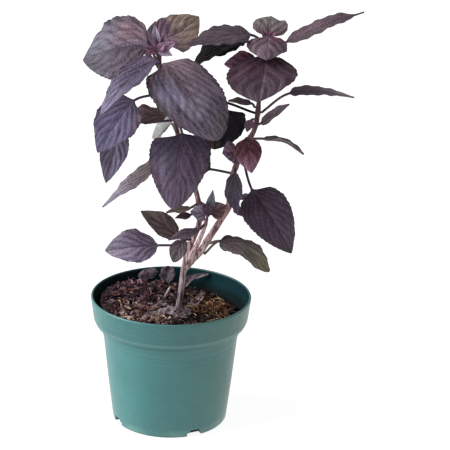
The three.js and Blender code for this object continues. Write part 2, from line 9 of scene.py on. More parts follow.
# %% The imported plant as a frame
import json
import math
import random
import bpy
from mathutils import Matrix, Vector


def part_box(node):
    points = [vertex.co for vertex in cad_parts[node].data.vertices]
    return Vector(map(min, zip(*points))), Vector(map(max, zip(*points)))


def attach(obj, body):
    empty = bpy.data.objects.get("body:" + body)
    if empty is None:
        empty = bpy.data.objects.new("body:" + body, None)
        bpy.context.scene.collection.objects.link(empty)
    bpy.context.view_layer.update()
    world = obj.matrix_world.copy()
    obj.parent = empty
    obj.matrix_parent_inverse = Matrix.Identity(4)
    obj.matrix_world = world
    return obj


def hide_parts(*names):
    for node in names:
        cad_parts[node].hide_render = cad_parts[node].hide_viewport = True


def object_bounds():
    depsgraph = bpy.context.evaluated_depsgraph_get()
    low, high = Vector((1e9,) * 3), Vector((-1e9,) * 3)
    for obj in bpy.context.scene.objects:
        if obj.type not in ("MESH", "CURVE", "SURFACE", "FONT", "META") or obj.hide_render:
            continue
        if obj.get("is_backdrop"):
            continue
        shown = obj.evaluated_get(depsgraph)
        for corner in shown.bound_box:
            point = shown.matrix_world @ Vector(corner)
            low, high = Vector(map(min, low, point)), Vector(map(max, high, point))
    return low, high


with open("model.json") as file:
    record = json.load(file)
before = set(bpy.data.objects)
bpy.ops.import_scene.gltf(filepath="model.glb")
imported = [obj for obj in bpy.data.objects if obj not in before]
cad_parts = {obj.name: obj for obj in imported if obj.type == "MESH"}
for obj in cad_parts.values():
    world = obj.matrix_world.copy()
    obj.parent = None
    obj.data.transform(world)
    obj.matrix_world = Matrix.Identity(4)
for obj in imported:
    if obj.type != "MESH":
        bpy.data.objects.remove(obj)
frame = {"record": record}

from types import SimpleNamespace

import bmesh
import bpy
import numpy as np
from mathutils import Matrix, Vector

MM = 0.001
cad_box = [list(corner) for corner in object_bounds()]
print("plant from", [round(c, 4) for c in cad_box[0]], "to", [round(c, 4) for c in cad_box[1]])

# %% [markdown]
# ## The camera
# A photograph of a pot tells where its camera stood: the rim is a circle, so the flatness of its oval
# gives the height angle, and the smaller oval of the foot gives the distance. Here that is 19.5 degrees
# above the table and 1.2 m away, with a slight tilt of the hand. Writing the camera's three axes down
# keeps that tilt exact.

# %% Camera
AIM = Vector((0.03684, 0, 0.14616))
DISTANCE = 1.2
HEIGHT_ANGLE = math.radians(19.46)
TILT = math.radians(1.49)
SENSOR_WIDTH, LENS = 36, 137.245


def set_out(name, data):
    """A new object in the scene."""
    thing = bpy.data.objects.new(name, data)
    bpy.context.collection.objects.link(thing)
    return thing


right = Vector((1, 0, 0))
up = Vector((0, math.sin(HEIGHT_ANGLE), math.cos(HEIGHT_ANGLE)))
back = Vector((0, -math.cos(HEIGHT_ANGLE), math.sin(HEIGHT_ANGLE)))
tilted_right = right * math.cos(TILT) + up * math.sin(TILT)
tilted_up = up * math.cos(TILT) - right * math.sin(TILT)
axes = Matrix((tilted_right, tilted_up, back)).transposed().to_4x4()

camera = set_out("camera", bpy.data.cameras.new("camera"))
camera.matrix_world = Matrix.Translation(AIM + back * DISTANCE) @ axes
camera.data.sensor_width = SENSOR_WIDTH
camera.data.lens = LENS
bpy.context.scene.camera = camera
print("camera stands", round(camera.location.z, 3), "m above the table")

# %% [markdown]
# ## The studio
# The plant stands on white with hardly a shadow, as on a glowing table made for product pictures. An even
# sky fills in from all sides. One broad lamp, far away at the left, makes the left of the pot and of each
# leaf lighter. A sun lamp is used for it, because it lights the whole table alike, and its wide angle
# keeps the shadows soft. The Standard view shows colours as mixed, where Blender's usual film-like view
# would grey white.

# %% Floor, sky and lamp
SKY_STRENGTH = 0.38
LAMP_STRENGTH, LAMP_WIDTH, LAMP_HEADING = 3.7, math.radians(42), Vector((0.88, 0.16, -0.62))
FLOOR_REACH = 20

bpy.context.scene.view_settings.view_transform = "Standard"
bpy.context.scene.world = bpy.data.worlds.new("sky")
bpy.context.scene.world.use_nodes = True
sky = bpy.context.scene.world.node_tree.nodes["Background"]
sky.inputs["Color"].default_value = (1, 1, 1, 1)
sky.inputs["Strength"].default_value = SKY_STRENGTH

lamp = set_out("lamp_left", bpy.data.lights.new("lamp_left", "SUN"))
lamp.data.energy = LAMP_STRENGTH
lamp.data.angle = LAMP_WIDTH
lamp.rotation_euler = LAMP_HEADING.to_track_quat("-Z", "Y").to_euler()

table = bmesh.new()
bmesh.ops.create_grid(table, x_segments=8, y_segments=8, size=FLOOR_REACH)
floor = set_out("floor", bpy.data.meshes.new("floor"))
table.to_mesh(floor.data)
table.free()
floor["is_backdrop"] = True

# %% [markdown]
# ## Drawing a finish
# Every finish below is built as a painter works: a ground colour first, then one thin layer after another,
# and dents last. A small class keeps the material and its colour so far, and each of its methods adds a
# node or two. Colours are written as they should look in the picture, so they are first turned into light
# values and divided by how brightly the studio lights a plain surface. The white table is the first thing
# finished this way.

# %% A finish in layers
LIGHT_LEVEL = 1.1


def tone(colour):
    """Light values of a colour: a code says how it should look, and three numbers are used as they are."""
    if not isinstance(colour, str):
        return (*colour, 1)
    values = [int(colour[i:i + 2], 16) / 255 for i in (1, 3, 5)]
    linear = [v / 12.92 if v <= 0.04045 else ((v + 0.055) / 1.055) ** 2.4 for v in values]
    return (*(v / LIGHT_LEVEL for v in linear), 1)


class Finish:
    """A material whose colour is laid on in layers."""

    def __init__(self, name):
        self.material = bpy.data.materials.new(name)
        self.material.use_nodes = True
        self.tree = self.material.node_tree
        self.shader = self.tree.nodes["Principled BSDF"]
        self.where = self.add("TexCoord").outputs["Object"]
        self.colour = None

    def put(self, value, socket):
        """Links a value that varies over the surface and sets one that doesn't."""
        if isinstance(value, bpy.types.NodeSocket):
            self.tree.links.new(value, socket)
        else:
            socket.default_value = value

    def add(self, kind, sockets=None, **settings):
        node = self.tree.nodes.new("ShaderNode" + kind)
        for key, value in settings.items():
            setattr(node, key, value)
        for key, value in (sockets or {}).items():
            self.put(value, node.inputs[key])
        return node

    def places(self):
        """How far right, back and up a point of the surface lies, in mm."""
        in_mm = self.add("VectorMath", {0: self.where, "Scale": 1 / MM}, operation="SCALE").outputs[0]
        return self.add("SeparateXYZ", {0: in_mm}).outputs

    def sums(self, way, *numbers):
        return self.add("Math", dict(enumerate(numbers)), operation=way).outputs[0]

    def times(self, first, second):
        return self.sums("MULTIPLY", first, second)

    def plus(self, first, second):
        return self.sums("ADD", first, second)

    def ranged(self, value, low, high, out_low=0.0, out_high=1.0):
        """Eases from out_low to out_high while the value goes from low to high."""
        sockets = dict(enumerate((value, low, high, out_low, out_high)))
        return self.add("MapRange", sockets, interpolation_type="SMOOTHSTEP").outputs[0]

    def noise(self, scale, detail=2.0, roughness=0.5, at=None, distortion=0.0):
        sockets = {"Vector": at or self.where, "Scale": scale, "Detail": detail, "Roughness": roughness}
        return self.add("TexNoise", {**sockets, "Distortion": distortion}).outputs["Fac"]

    def streaks(self, stretch, detail, roughness=0.5):
        """Noise drawn out along the axis that has the smallest number."""
        drawn = self.add("Mapping", {"Vector": self.where, "Scale": stretch}).outputs[0]
        return self.noise(1.0, detail, roughness, drawn)

    def net(self, scale):
        """How far a point lies from the walls of a cell pattern."""
        cells = self.add("TexVoronoi", {"Vector": self.where, "Scale": scale}, feature="DISTANCE_TO_EDGE")
        return cells.outputs["Distance"]

    def spread(self, value, stops):
        """Turns a number into a colour along a row of places and colours."""
        node = self.add("ValToRGB", {0: value})
        row = node.color_ramp.elements
        while len(row) < len(stops):
            row.new(0.5)
        for element, (place, colour) in zip(row, stops):
            element.position = place
            element.color = tone(colour)
        return node.outputs[0]

    def ground(self, value, *stops):
        self.colour = self.spread(value, stops)

    def stain(self, share, colour, way="MIX"):
        """Lays a colour over the ones before it."""
        laid = colour if isinstance(colour, bpy.types.NodeSocket) else tone(colour)
        sockets = {0: share, 6: self.colour, 7: laid}
        self.colour = self.add("Mix", sockets, data_type="RGBA", blend_type=way).outputs[2]

    def shade(self, amount):
        """Makes the colour so far darker or lighter by a number."""
        self.stain(1.0, self.add("CombineColor", {0: amount, 1: amount, 2: amount}).outputs[0], "MULTIPLY")

    def dent(self, height, depth, strength):
        """Dents of up to depth, in mm."""
        bump = self.add("Bump", {"Height": height, "Distance": depth * MM, "Strength": strength})
        self.put(bump.outputs[0], self.shader.inputs["Normal"])

    def done(self, roughness, others=None):
        """Hands the colour, the roughness and any other values to the shader."""
        for key, value in {"Base Color": self.colour, "Roughness": roughness, **(others or {})}.items():
            self.put(value, self.shader.inputs[key])
        return self.material


paper = Finish("white_table")
grain = paper.noise(60.0, 3.0, at=paper.add("TexCoord").outputs["Generated"])
paper.ground(grain, (0.3, (0.25, 0.25, 0.25)), (0.7, (0.27, 0.27, 0.27)))
glow = {"Specular IOR Level": 0.1, "Emission Color": (1, 1, 1, 1), "Emission Strength": 0.9}
floor.data.materials.append(paper.done(0.9, glow))
print("the table has", len(paper.tree.nodes), "nodes")

# %% [markdown]
# ## From numbers to a mesh
# A leaf, a pot wall and a stem are all grids of points bent into shape. One helper lists the four-cornered
# faces of a grid, one wraps a grid round a path as a tube, and one turns points and faces into an object
# that rides with the plant and stands for its CAD node.

# %% Mesh helpers
def full_turn(count):
    return np.arange(count) * 2 * math.pi / count


def unit(vectors):
    return vectors / np.maximum(np.linalg.norm(vectors, axis=-1, keepdims=True), 1e-9)


def grid_faces(rows, columns, ring=False):
    row, column = np.mgrid[0:rows - 1, 0:columns - (0 if ring else 1)]
    this, after = row * columns + column, row * columns + (column + 1) % columns
    return np.stack([this, after, after + columns, this + columns], -1).reshape(-1, 4)


def tube(path, heading, aside, radius, sides, square=0.0, way=1):
    """A tube with closed ends, round or slightly squared. Aside is any direction the path never takes.
    Way -1 goes round it the other way."""
    across = unit(np.cross(heading, aside))
    over = way * np.cross(across, heading)
    turn = full_turn(sides)
    out = 1 + square * np.cos(4 * turn)
    ring = across[:, None] * (np.cos(turn) * out)[:, None] + over[:, None] * (np.sin(turn) * out)[:, None]
    points = path[:, None] + ring * radius[:, None, None]
    last = (len(path) - 1) * sides
    caps = [list(range(sides))[::-1], list(range(last, last + sides))]
    return points.reshape(-1, 3).tolist(), grid_faces(len(path), sides, ring=True).tolist() + caps


def mesh_piece(name, points, faces, slot, stands_for=None, smooth=True):
    mesh = bpy.data.meshes.new(name)
    mesh.from_pydata((np.asarray(points) * MM).tolist(), [], [list(map(int, face)) for face in faces])
    mesh.polygons.foreach_set("use_smooth", [smooth] * len(mesh.polygons))
    mesh.update()
    piece = set_out(name, mesh)
    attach(piece, "root")
    if stands_for:
        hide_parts(stands_for)
    return piece


def settle(piece):
    """Turns the result of a piece's modifiers into its mesh."""
    done = bpy.data.meshes.new_from_object(piece.evaluated_get(bpy.context.evaluated_depsgraph_get()))
    piece.modifiers.clear()
    piece.data = done


def triangles(piece):
    return sum(len(face.vertices) - 2 for face in piece.data.polygons)


# %% [markdown]
# ## The pot
# The pot is one thin shell of blow-moulded plastic: a tapered wall, a faint step, a shoulder and a flared
# band with a rolled rim. A potter's wheel does the same in clay, so the profile is written once and turned
# round the axis in 192 steps. Round corners come from rounding the profile itself, which costs nothing and
# catches the light along the rim. The four arched drainage notches at the foot are cut with a boolean, as
# if punched.

# %% Pot shell
POT_STEPS = 192
FOOT_RADIUS, SHOULDER_RADIUS, SHOULDER_HEIGHT = 41, 49.2, 71.5
WALL, STEP_HEIGHT, CORNER_REACH = 1.5, 63.5, 0.7
NOTCHES, FIRST_NOTCH, NOTCH_PLACE, NOTCH_SIZE = 4, 28, 40.5, (11, 11.5, 10.2)
NOTCH_CORNER, WELD, SHARP_ANGLE = 2.1, 0.02, math.radians(38)


def towards(corner, other, reach):
    """A place on the way from one corner to another, at most 45 hundredths of the way."""
    way = other - corner
    far = np.linalg.norm(way)
    return corner + way / far * min(reach, 0.45 * far)


def rounded(corners, reach):
    """The corners of a profile, each cut back by up to reach and bridged by a small curve."""
    corners = np.asarray(corners, float)
    line = [corners[0]]
    for before, corner, after in zip(corners, corners[1:], corners[2:]):
        start, end = towards(corner, before, reach), towards(corner, after, reach)
        for t in (0, 0.33, 0.67, 1):
            line.append((1 - t) ** 2 * start + 2 * t * (1 - t) * corner + t * t * end)
    line.append(corners[-1])
    return np.array(line)


def wall_radius(z):
    return FOOT_RADIUS + (SHOULDER_RADIUS - FOOT_RADIUS) * z / SHOULDER_HEIGHT


POT_PROFILE = [
    (0.01, 0), (40.2, 0), (FOOT_RADIUS, 0.8), (wall_radius(30), 30),
    (wall_radius(STEP_HEIGHT) - 0.35, STEP_HEIGHT), (wall_radius(63.95), 63.95),
    (SHOULDER_RADIUS, SHOULDER_HEIGHT), (53.4, 73), (54.9, 76.5), (56.7, 90.6), (57, 92), (56.3, 93),
    (55.4, 92.7), (55.1, 91), (51.8, 75.3), (47.7, 72.4), (wall_radius(2) - WALL, 2), (0.01, 2),
]
profile = rounded(POT_PROFILE, CORNER_REACH)
turn = full_turn(POT_STEPS)
radius, height = profile[:, :1], profile[:, 1:]
shell = np.stack([radius * np.cos(turn), radius * np.sin(turn), height + 0 * turn], -1)
shell_faces = grid_faces(len(shell), POT_STEPS, ring=True)
pot = mesh_piece("pot_shell", shell.reshape(-1, 3), shell_faces, "pot", "pot")

punch = bmesh.new()
for i in range(NOTCHES):
    turned = Matrix.Rotation(math.radians(FIRST_NOTCH + 360 * i / NOTCHES), 4, "Z")
    shape = Matrix.LocRotScale(Vector((NOTCH_PLACE, 0, 0)) * MM, None, Vector(NOTCH_SIZE) * MM)
    block = bmesh.ops.create_cube(punch, size=1, matrix=turned @ shape)
    upper = {e for v in block["verts"] for e in v.link_edges if all(p.co.z > 4 * MM for p in e.verts)}
    bmesh.ops.bevel(punch, geom=list(upper), offset=NOTCH_CORNER * MM, segments=5, affect="EDGES")
puncher = set_out("punch", bpy.data.meshes.new("punch"))
punch.to_mesh(puncher.data)
punch.free()

welded = bmesh.new()
welded.from_mesh(pot.data)
bmesh.ops.remove_doubles(welded, verts=welded.verts, dist=WELD * MM)
bmesh.ops.recalc_face_normals(welded, faces=welded.faces)
welded.to_mesh(pot.data)
welded.free()
notches = pot.modifiers.new("notches", "BOOLEAN")
notches.object = puncher
notches.solver = "EXACT"
settle(pot)
bpy.data.objects.remove(puncher)
pot.data.polygons.foreach_set("use_smooth", [True] * len(pot.data.polygons))
pot.data.set_sharp_from_angle(angle=SHARP_ANGLE)
print("pot", triangles(pot), "triangles,", round(pot.dimensions.x / MM, 1), "mm across")

# %% [markdown]
# The plastic is satin, blue-green and slightly cloudy. On such a pot the eye finds splashes of grit on the
# band, faint rings from the mould, and fine light and dark scratches that crowd at the foot, where pots are
# slid and stacked. Light is painted in as well: a painted highlight along the rim and on the band's lower
# corner, painted shade in a line under the band, at the step, under the rolled rim and on the back of the
# rim, and painted shade over the right side, away from the lamp. All of these follow height, the side or a
# noise stretched up or round the pot, so they are drawn from the object's own coordinates. The right side
# also turns a little greyer.

# %% Pot finish
plastic = Finish("green_pot_plastic")
sideways, backwards, height = plastic.places()
ranged, times = plastic.ranged, plastic.times
cloud = plastic.noise(28.0, 4.0)
plastic.ground(cloud, (0.3, "#367575"), (0.7, "#3e807f"))
plastic.stain(ranged(plastic.sums("MULTIPLY_ADD", cloud, 20.0, sideways), 20, 70, 0.0, 0.75), "#4a7667")


def between(low, high, soft=0.4):
    """1 between two heights on the pot and 0 elsewhere."""
    return times(ranged(height, low - soft, low + soft), ranged(height, high + soft, high - soft))


plastic.shade(ranged(plastic.streaks((6.0, 6.0, 1400.0), 3.0), 0.3, 0.7, 0.94, 1.05))
# Painted shade: the right side darker, away from the lamp.
plastic.shade(ranged(sideways, -34, 12, 1.0, 0.86))
plastic.shade(ranged(height, 72.8, 74.5, 1.0, 0.86))
scuffs = plastic.streaks((260.0, 260.0, 22.0), 6.0, 0.7)
grit = plastic.noise(1100.0, 4.0, 0.7)
at_right = ranged(sideways, 26, 44, 1.0, 1.7)
low_down = times(ranged(height, 20, 6), at_right)
splashed = between(81, 88.5, 2)
POT_MARKS_AND_PAINTED_LIGHT = [
    (times(ranged(scuffs, 0.58, 0.8, 0.0, 0.2), at_right), "#7fa9a0"),
    (times(ranged(grit, 0.56, 0.7, 0.0, 0.5), low_down), "#9cbdb4"),
    (times(ranged(grit, 0.44, 0.3, 0.0, 0.5), low_down), "#214f50"),
    # Painted shadow in a line under the band.
    (times(between(70.6, 73.4), 0.6), "#143f45"),
    # Painted highlight on the band's lower corner.
    (times(between(75.2, 76.8), 0.14), "#86b4ae"),
    # Painted shade in a line at the step.
    (times(between(62.8, 63.6, 0.3), 0.3), "#1f5358"),
    # Painted highlight along the top of the rim.
    (times(ranged(height, 91.8, 92.8), 0.5), "#5f8f8c"),
    # Painted shade in a line under the rolled rim.
    (times(between(89.3, 90.5), 0.3), "#2c6468"),
    # Painted shade on the back of the rim.
    (times(ranged(height, 91.4, 92.2), ranged(backwards, -10, 20, 0.0, 0.8)), "#1d4a50"),
    (times(ranged(grit, 0.45, 0.32, 0.0, 0.5), splashed), "#1f5354"),
    (times(ranged(grit, 0.57, 0.7, 0.0, 0.4), splashed), "#82aeac"),
    (times(ranged(height, 7.5, 3), ranged(cloud, 0.4, 0.6, 0.05, 0.4)), "#86aca6"),
    (ranged(height, 1.4, 0.6, 0.0, 0.7), "#234a49"),
]
for share, code in POT_MARKS_AND_PAINTED_LIGHT:
    plastic.stain(share, code)
plastic.dent(plastic.plus(times(plastic.noise(900.0), 0.04), times(scuffs, 0.05)), 1, 0.6)
pot.data.materials.clear()
pot.data.materials.append(plastic.done(ranged(scuffs, 0.3, 0.8, 0.36, 0.52), {"Coat Weight": 0.08}))
print("plastic finish has", len(plastic.tree.nodes), "nodes")

# %% [markdown]
# The inner wall is dull, and its dark colours are painted shade, darkest near the soil and on the left. It
# could be darkened within the same drawing, but a second finish on the faces that look inwards leaves both
# drawings simpler.

# %% Inner wall
FLOOR_TOP, LIP = 3, 92.2

inner_wall_shade = Finish("painted_shade_inner_wall")
sideways, _, height = inner_wall_shade.places()
wall_mottle = inner_wall_shade.noise(60.0, 5.0, 0.65)
# Dark ground colours: painted shade inside the pot.
inner_wall_shade.ground(wall_mottle, (0.3, "#08292f"), (0.7, "#0c363c"))
# Painted shade, darkest near the soil.
painted_shade_near_soil = inner_wall_shade.ranged(inner_wall_shade.sums("MULTIPLY_ADD", wall_mottle, 6.0, height), 89, 83)
inner_wall_shade.stain(painted_shade_near_soil, "#0b1c20")
# Painted shade on the left inner wall, which faces away from the lamp.
inner_wall_shade.stain(inner_wall_shade.times(inner_wall_shade.ranged(sideways, -10, -40), 0.7), "#14201f")
inner_wall_shade.dent(wall_mottle, 0.3, 0.5)
pot.data.materials.append(inner_wall_shade.done(0.8, {"Specular IOR Level": 0.12}))
for face in pot.data.polygons:
    outward = Vector((face.center.x, face.center.y, 0)).normalized()
    if face.normal.dot(outward) < -0.5 and FLOOR_TOP * MM < face.center.z < LIP * MM:
        face.material_index = 1
print("inner wall faces", sum(face.material_index == 1 for face in pot.data.polygons))

# %% [markdown]
# ## The soil
# Potting soil has three sizes of thing in it: the lie of the surface, crumbs, and bits of bark and fibre.
# The surface is a round grid that repeats the CAD's slope and mounds and adds several sizes of bump. A
# grid can't make undercuts, so crumbs, chips and fibres are small closed meshes scattered over it, a
# quarter sunk in.

# %% Soil surface
SOIL_LEVEL, SOIL_LOWEST, SOIL_RADIUS = 82, 76.8, 50.3
SOIL_MOUNDS = [(5, -22, 18, 520), (-3, 30, 16, 300)]
SOIL_RINGS, SOIL_STEPS = 120, 300
SOIL_SIDE = [(49.0, 77.0), (46.5, 72.5), (39.0, 2.3), (0.01, 2.3)]


def bumps(x, y, size, seed):
    """Smooth random hills about size across, between -1 and 1."""
    chance = np.random.default_rng(seed)
    total = np.zeros_like(x, dtype=float)
    for _ in range(14):
        heading = chance.uniform(0, 2 * math.pi)
        pace = 2 * math.pi / (size * chance.uniform(0.7, 1.6))
        way = x * math.cos(heading) + y * math.sin(heading)
        total = total + np.sin(way * pace + chance.uniform(0, 6.28))
    return total / 5.2


def soil_height(x, y):
    """The lie of the CAD soil: falling to the right, with a mound at the back left and a dip at the right."""
    height = SOIL_LEVEL - 0.11 * (x - 5) - 0.03 * y
    for rise, mound_x, mound_y, width in SOIL_MOUNDS:
        height = height + rise * np.exp(-((x - mound_x) ** 2 + (y - mound_y) ** 2) / width)
    ripples = 0.9 * np.sin(x * 0.42 + 1.3) * np.cos(y * 0.37) + 0.6 * np.sin(x * 0.23 - y * 0.51)
    return np.maximum(height + ripples, SOIL_LOWEST)


def soil_surface(x, y):
    """The same with clods and crumbs, calmer at the wall."""
    clods = 0.9 * bumps(x, y, 9, 3) + 0.7 * np.abs(bumps(x, y, 4, 4)) + 0.35 * bumps(x, y, 1.8, 5)
    inward = np.clip((50.2 - np.hypot(x, y)) / 4, 0, 1)
    return soil_height(x, y) + (clods - 0.3) * (0.35 + 0.65 * inward)


def soil_at(x, y):
    """The dressed soil's height at one spot."""
    return float(soil_surface(np.array(float(x)), np.array(float(y))))


ring = np.linspace(0, 1, SOIL_RINGS)[:, None] ** 0.75 * SOIL_RADIUS
turn = full_turn(SOIL_STEPS)
ground_x, ground_y = ring * np.cos(turn), ring * np.sin(turn)
ground = np.stack([ground_x, ground_y, soil_surface(ground_x, ground_y)], -1)
side = [np.stack([radius * np.cos(turn), radius * np.sin(turn), z + 0 * turn], -1) for radius, z in SOIL_SIDE]
ground = np.concatenate([ground, side])
soil_faces = grid_faces(len(ground), SOIL_STEPS, ring=True)
soil = mesh_piece("soil_bed", ground.reshape(-1, 3), soil_faces, "soil", "soil")
print("soil", triangles(soil), "triangles, top at", round(ground[..., 2].max(), 1), "mm")

# %% [markdown]
# The crumbs start as twenty-sided lumps, which is as coarse as a crumb may be before its corners show.
# Each is stretched and dented by chance. Peat shreds and bark chips are flat slabs with a ragged outline,
# and fibres are thin bent tubes. The same seeded dice are thrown each time, so the soil never changes
# between renders.

# %% One crumb, one chip, one fibre
dice = random.Random(8)
SLAB_SIDES = 9


def lump(place, size, rise=0.25, flatten=0.75):
    """A dented twenty-sided crumb."""
    one = bmesh.new()
    bmesh.ops.create_icosphere(one, subdivisions=1, radius=1)
    stretch = Vector((dice.uniform(0.7, 1.35), dice.uniform(0.6, 1.1), flatten * dice.uniform(0.7, 1.2)))
    swing = Matrix.Rotation(dice.uniform(0, 6.28), 3, Vector([dice.gauss(0, 1) for _ in range(3)]))
    points = []
    for vertex in one.verts:
        p = swing @ (vertex.co * dice.uniform(0.75, 1.2) * stretch)
        points.append((place[0] + p.x * size, place[1] + p.y * size, place[2] + (p.z + rise) * size))
    faces = [[v.index for v in face.verts] for face in one.faces]
    one.free()
    return points, faces


def slab(place, length, width, thickness, heading, lean):
    """A flat splinter of bark with a ragged outline."""
    outline = []
    for a in full_turn(SLAB_SIDES):
        ragged = dice.uniform(0.72, 1.12)
        outline.append((math.cos(a) * length / 2 * ragged, math.sin(a) * width / 2 * ragged))
    turn_to = Matrix.Rotation(heading, 3, "Z")
    for angle, axis in zip(lean, "XY"):
        turn_to = turn_to @ Matrix.Rotation(angle, 3, axis)
    points = []
    for level, shrink in ((0, 0.9), (0.5, 1), (1, 0.86)):
        for x, y in outline:
            lifted = Vector((x * shrink, y * shrink, (level - 0.4) * thickness + dice.uniform(-0.12, 0.12)))
            points.append(tuple(Vector(place) + turn_to @ lifted))
    ends = [list(range(SLAB_SIDES))[::-1], list(range(2 * SLAB_SIDES, 3 * SLAB_SIDES))]
    return points, grid_faces(3, SLAB_SIDES, ring=True).tolist() + ends


def thread(path, thickness, sides=6):
    """A thin bent tube, pointed at both ends."""
    path = np.asarray(path, float)
    count = np.arange(len(path))
    taper = np.clip(np.minimum(count, count[::-1]) / 2 + 0.25, 0, 1)
    return tube(path, unit(np.gradient(path, axis=0)), (0.13, 0.21, 0.97), taper * thickness, sides)


def heap(name, parts, slot, smooth=False):
    """One piece from many small closed meshes."""
    points, faces = [], []
    for some_points, some_faces in parts:
        faces += [[i + len(points) for i in face] for face in some_faces]
        points += some_points
    return mesh_piece(name, points, faces, slot, smooth=smooth)


# %% [markdown]
# Now they are strewn. Crumbs, shreds and red bark lie everywhere, pale bark at the front left and warm
# fibres at the right. A few straws lie where the eye finds them, so their ends are written down.

# %% Strew the soil
STRAWS = [
    ((-19, -4), (-8, -1.5), 0.55), ((21.5, 14), (22, -4), 0.5), ((25, 5), (21.5, -6), 0.42),
    ((29, 6), (34, -6), 0.5), ((26.5, -10), (30.5, 6), 0.42), ((-31, 8), (-24, 13), 0.4),
    ((4, -20), (13, -17), 0.35), ((34, -14), (26, -20), 0.4), ((36, 18), (41, 6), 0.45),
    ((16, 12), (24, 18), 0.4), ((38, -4), (31, -12), 0.5), ((-38, -6), (-33, -16), 0.45),
    ((-27, -20), (-20, -27), 0.5), ((12, -6), (20, -12), 0.45), ((30, 22), (38, 24), 0.4),
    ((-30, -12), (-22, -10), 0.4),
]
STRAW_STEPS, FIBRE_STEPS, FIBRE_REACH = 12, 10, 48.5


def spot_within(edge):
    """Gives chance spots on the soil, evenly spread inside a circle."""
    def spot():
        radius, angle = edge * math.sqrt(dice.random()), dice.uniform(0, 2 * math.pi)
        x, y = radius * math.cos(angle), radius * math.sin(angle)
        return x, y, soil_at(x, y)
    return spot


def spot_in(x_range, y_range):
    """Gives chance spots on the soil inside a rectangle."""
    def spot():
        x, y = dice.uniform(*x_range), dice.uniform(*y_range)
        return x, y, soil_at(x, y)
    return spot


def slabs(count, spot, length, thin, lift, lean):
    parts = []
    for _ in range(count):
        x, y, z = spot()
        long = dice.uniform(*length)
        tilt = (dice.uniform(-lean, lean), dice.uniform(-lean, lean))
        size = (long, long * dice.uniform(*thin), dice.uniform(0.4, 1.0))
        parts.append(slab((x, y, z + lift), *size, dice.uniform(0, 3.14), tilt))
    return parts


def fibres(count, spot, length, thick, lift):
    parts = []
    while len(parts) < count:
        x, y, _ = spot()
        heading, bend, long = dice.uniform(0, 6.28), dice.uniform(-0.16, 0.16), dice.uniform(*length)
        hump, path = dice.uniform(0.3, 2.2), []
        for i in range(FIBRE_STEPS):
            share = i / (FIBRE_STEPS - 1)
            path.append((x, y, soil_at(x, y) + lift + hump * math.sin(share * math.pi)))
            pace = long / (FIBRE_STEPS - 1)
            x, y, heading = x + math.cos(heading) * pace, y + math.sin(heading) * pace, heading + bend
        if max(math.hypot(p[0], p[1]) for p in path) < FIBRE_REACH:
            parts.append(thread(path, dice.uniform(*thick)))
    return parts


def straw(start, end, thickness):
    """A stiff straw lying across the crumbs from one spot to another."""
    path = []
    for t in np.linspace(0, 1, STRAW_STEPS):
        x, y = start[0] + (end[0] - start[0]) * t, start[1] + (end[1] - start[1]) * t
        path.append([x + 0.5 * math.sin(4 * t), y, soil_at(x, y)])
    path = np.array(path)
    chord = np.linspace(path[0, 2], path[-1, 2], STRAW_STEPS)
    path[:, 2] = np.maximum(path[:, 2], chord) + 1.3
    return thread(path, thickness)


wide, near = spot_within(49), spot_within(46)
crumb_parts = [lump(wide(), 0.4 + 1.4 * dice.random() ** 2.4) for _ in range(2600)]
crumb_parts += [lump(near(), dice.uniform(1.5, 2.8), rise=0.1) for _ in range(260)]
pale_spot, warm_spot = spot_in((-36, 2), (-37, -6)), spot_in((16, 44), (-8, 27))
STREWN = {
    "soil_crumbs": crumb_parts,
    "peat_shreds": slabs(800, spot_within(47), (3, 9.5), (0.1, 0.24), 1.0, 0.8),
    "bark_chips": slabs(130, near, (2.5, 8), (0.2, 0.45), 0.9, 0.6),
    "pale_chips": slabs(120, pale_spot, (3, 10), (0.2, 0.5), 1.3, 0.7),
    "straws": [straw(*each) for each in STRAWS],
    "soil_fibres": fibres(70, near, (5, 14), (0.12, 0.24), 0.6),
    "warm_fibres": fibres(90, warm_spot, (6, 15), (0.25, 0.6), 1.0),
}
ROUND_ONES = ("straws", "soil_fibres", "warm_fibres")
litter = {name: heap(name, parts, "soil", smooth=name in ROUND_ONES) for name, parts in STREWN.items()}
for name, piece in litter.items():
    print(name, triangles(piece), "triangles")

# %% [markdown]
# Damp peat is nearly black, dries to a grey brown on top of each crumb, and has reddish bark in it. Under
# the rim in front it is painted darkest, as painted shade. The right is painted darker and warmer, partly as
# painted shade, and the left lighter and greyer, as painted light from the lamp. Each crumb gets its own
# tone without a material of its own: a cell pattern about as large as a crumb gives one random number per
# cell, and a row of soil colours turns it into black, brown, rust or tan.

# %% Soil finishes
EARTHS = {
    "damp_peat": (
        "soil_bed", 2.2, 0.9, (0, "#0d0808"), (0.45, "#1c1314"), (0.75, "#2c2022"), (0.95, "#4a3a39")),
    "peat_crumbs": (
        "soil_crumbs", 2.4, 0.85, (0, "#0f0909"), (0.4, "#241819"), (0.66, "#3b2a27"), (0.82, "#5f4238"),
        (0.93, "#7d6b70"), (1, "#a07c68")),
    "reddish_bark": (
        "bark_chips", 9, 0.75, (0, "#3f241d"), (0.4, "#6c402f"), (0.75, "#8a5b45"), (1, "#a98268")),
    "tan_fibre": ("soil_fibres", 12, 0.7, (0, "#6c5246"), (0.6, "#8f7362"), (1, "#b59a85")),
    "peat_shred": (
        "peat_shreds", 6, 0.8, (0, "#150d0f"), (0.4, "#352427"), (0.72, "#5d474b"), (1, "#a08a8a")),
    "pale_bark": ("pale_chips", 7, 0.75, (0, "#4b332e"), (0.4, "#9a7262"), (1, "#ecd2c4")),
    "warm_fibre": (
        "warm_fibres", 5, 0.7, (0, "#6e452b"), (0.5, "#9a673f"), (0.85, "#bf9468"), (1, "#e8cfa8")),
    "bright_straw": ("straws", 14, 0.6, (0, "#c8a37e"), (0.6, "#e3c6a6"), (1, "#f6e6da")),
}
DRY_ONES = ("pale_bark", "warm_fibre", "bright_straw")


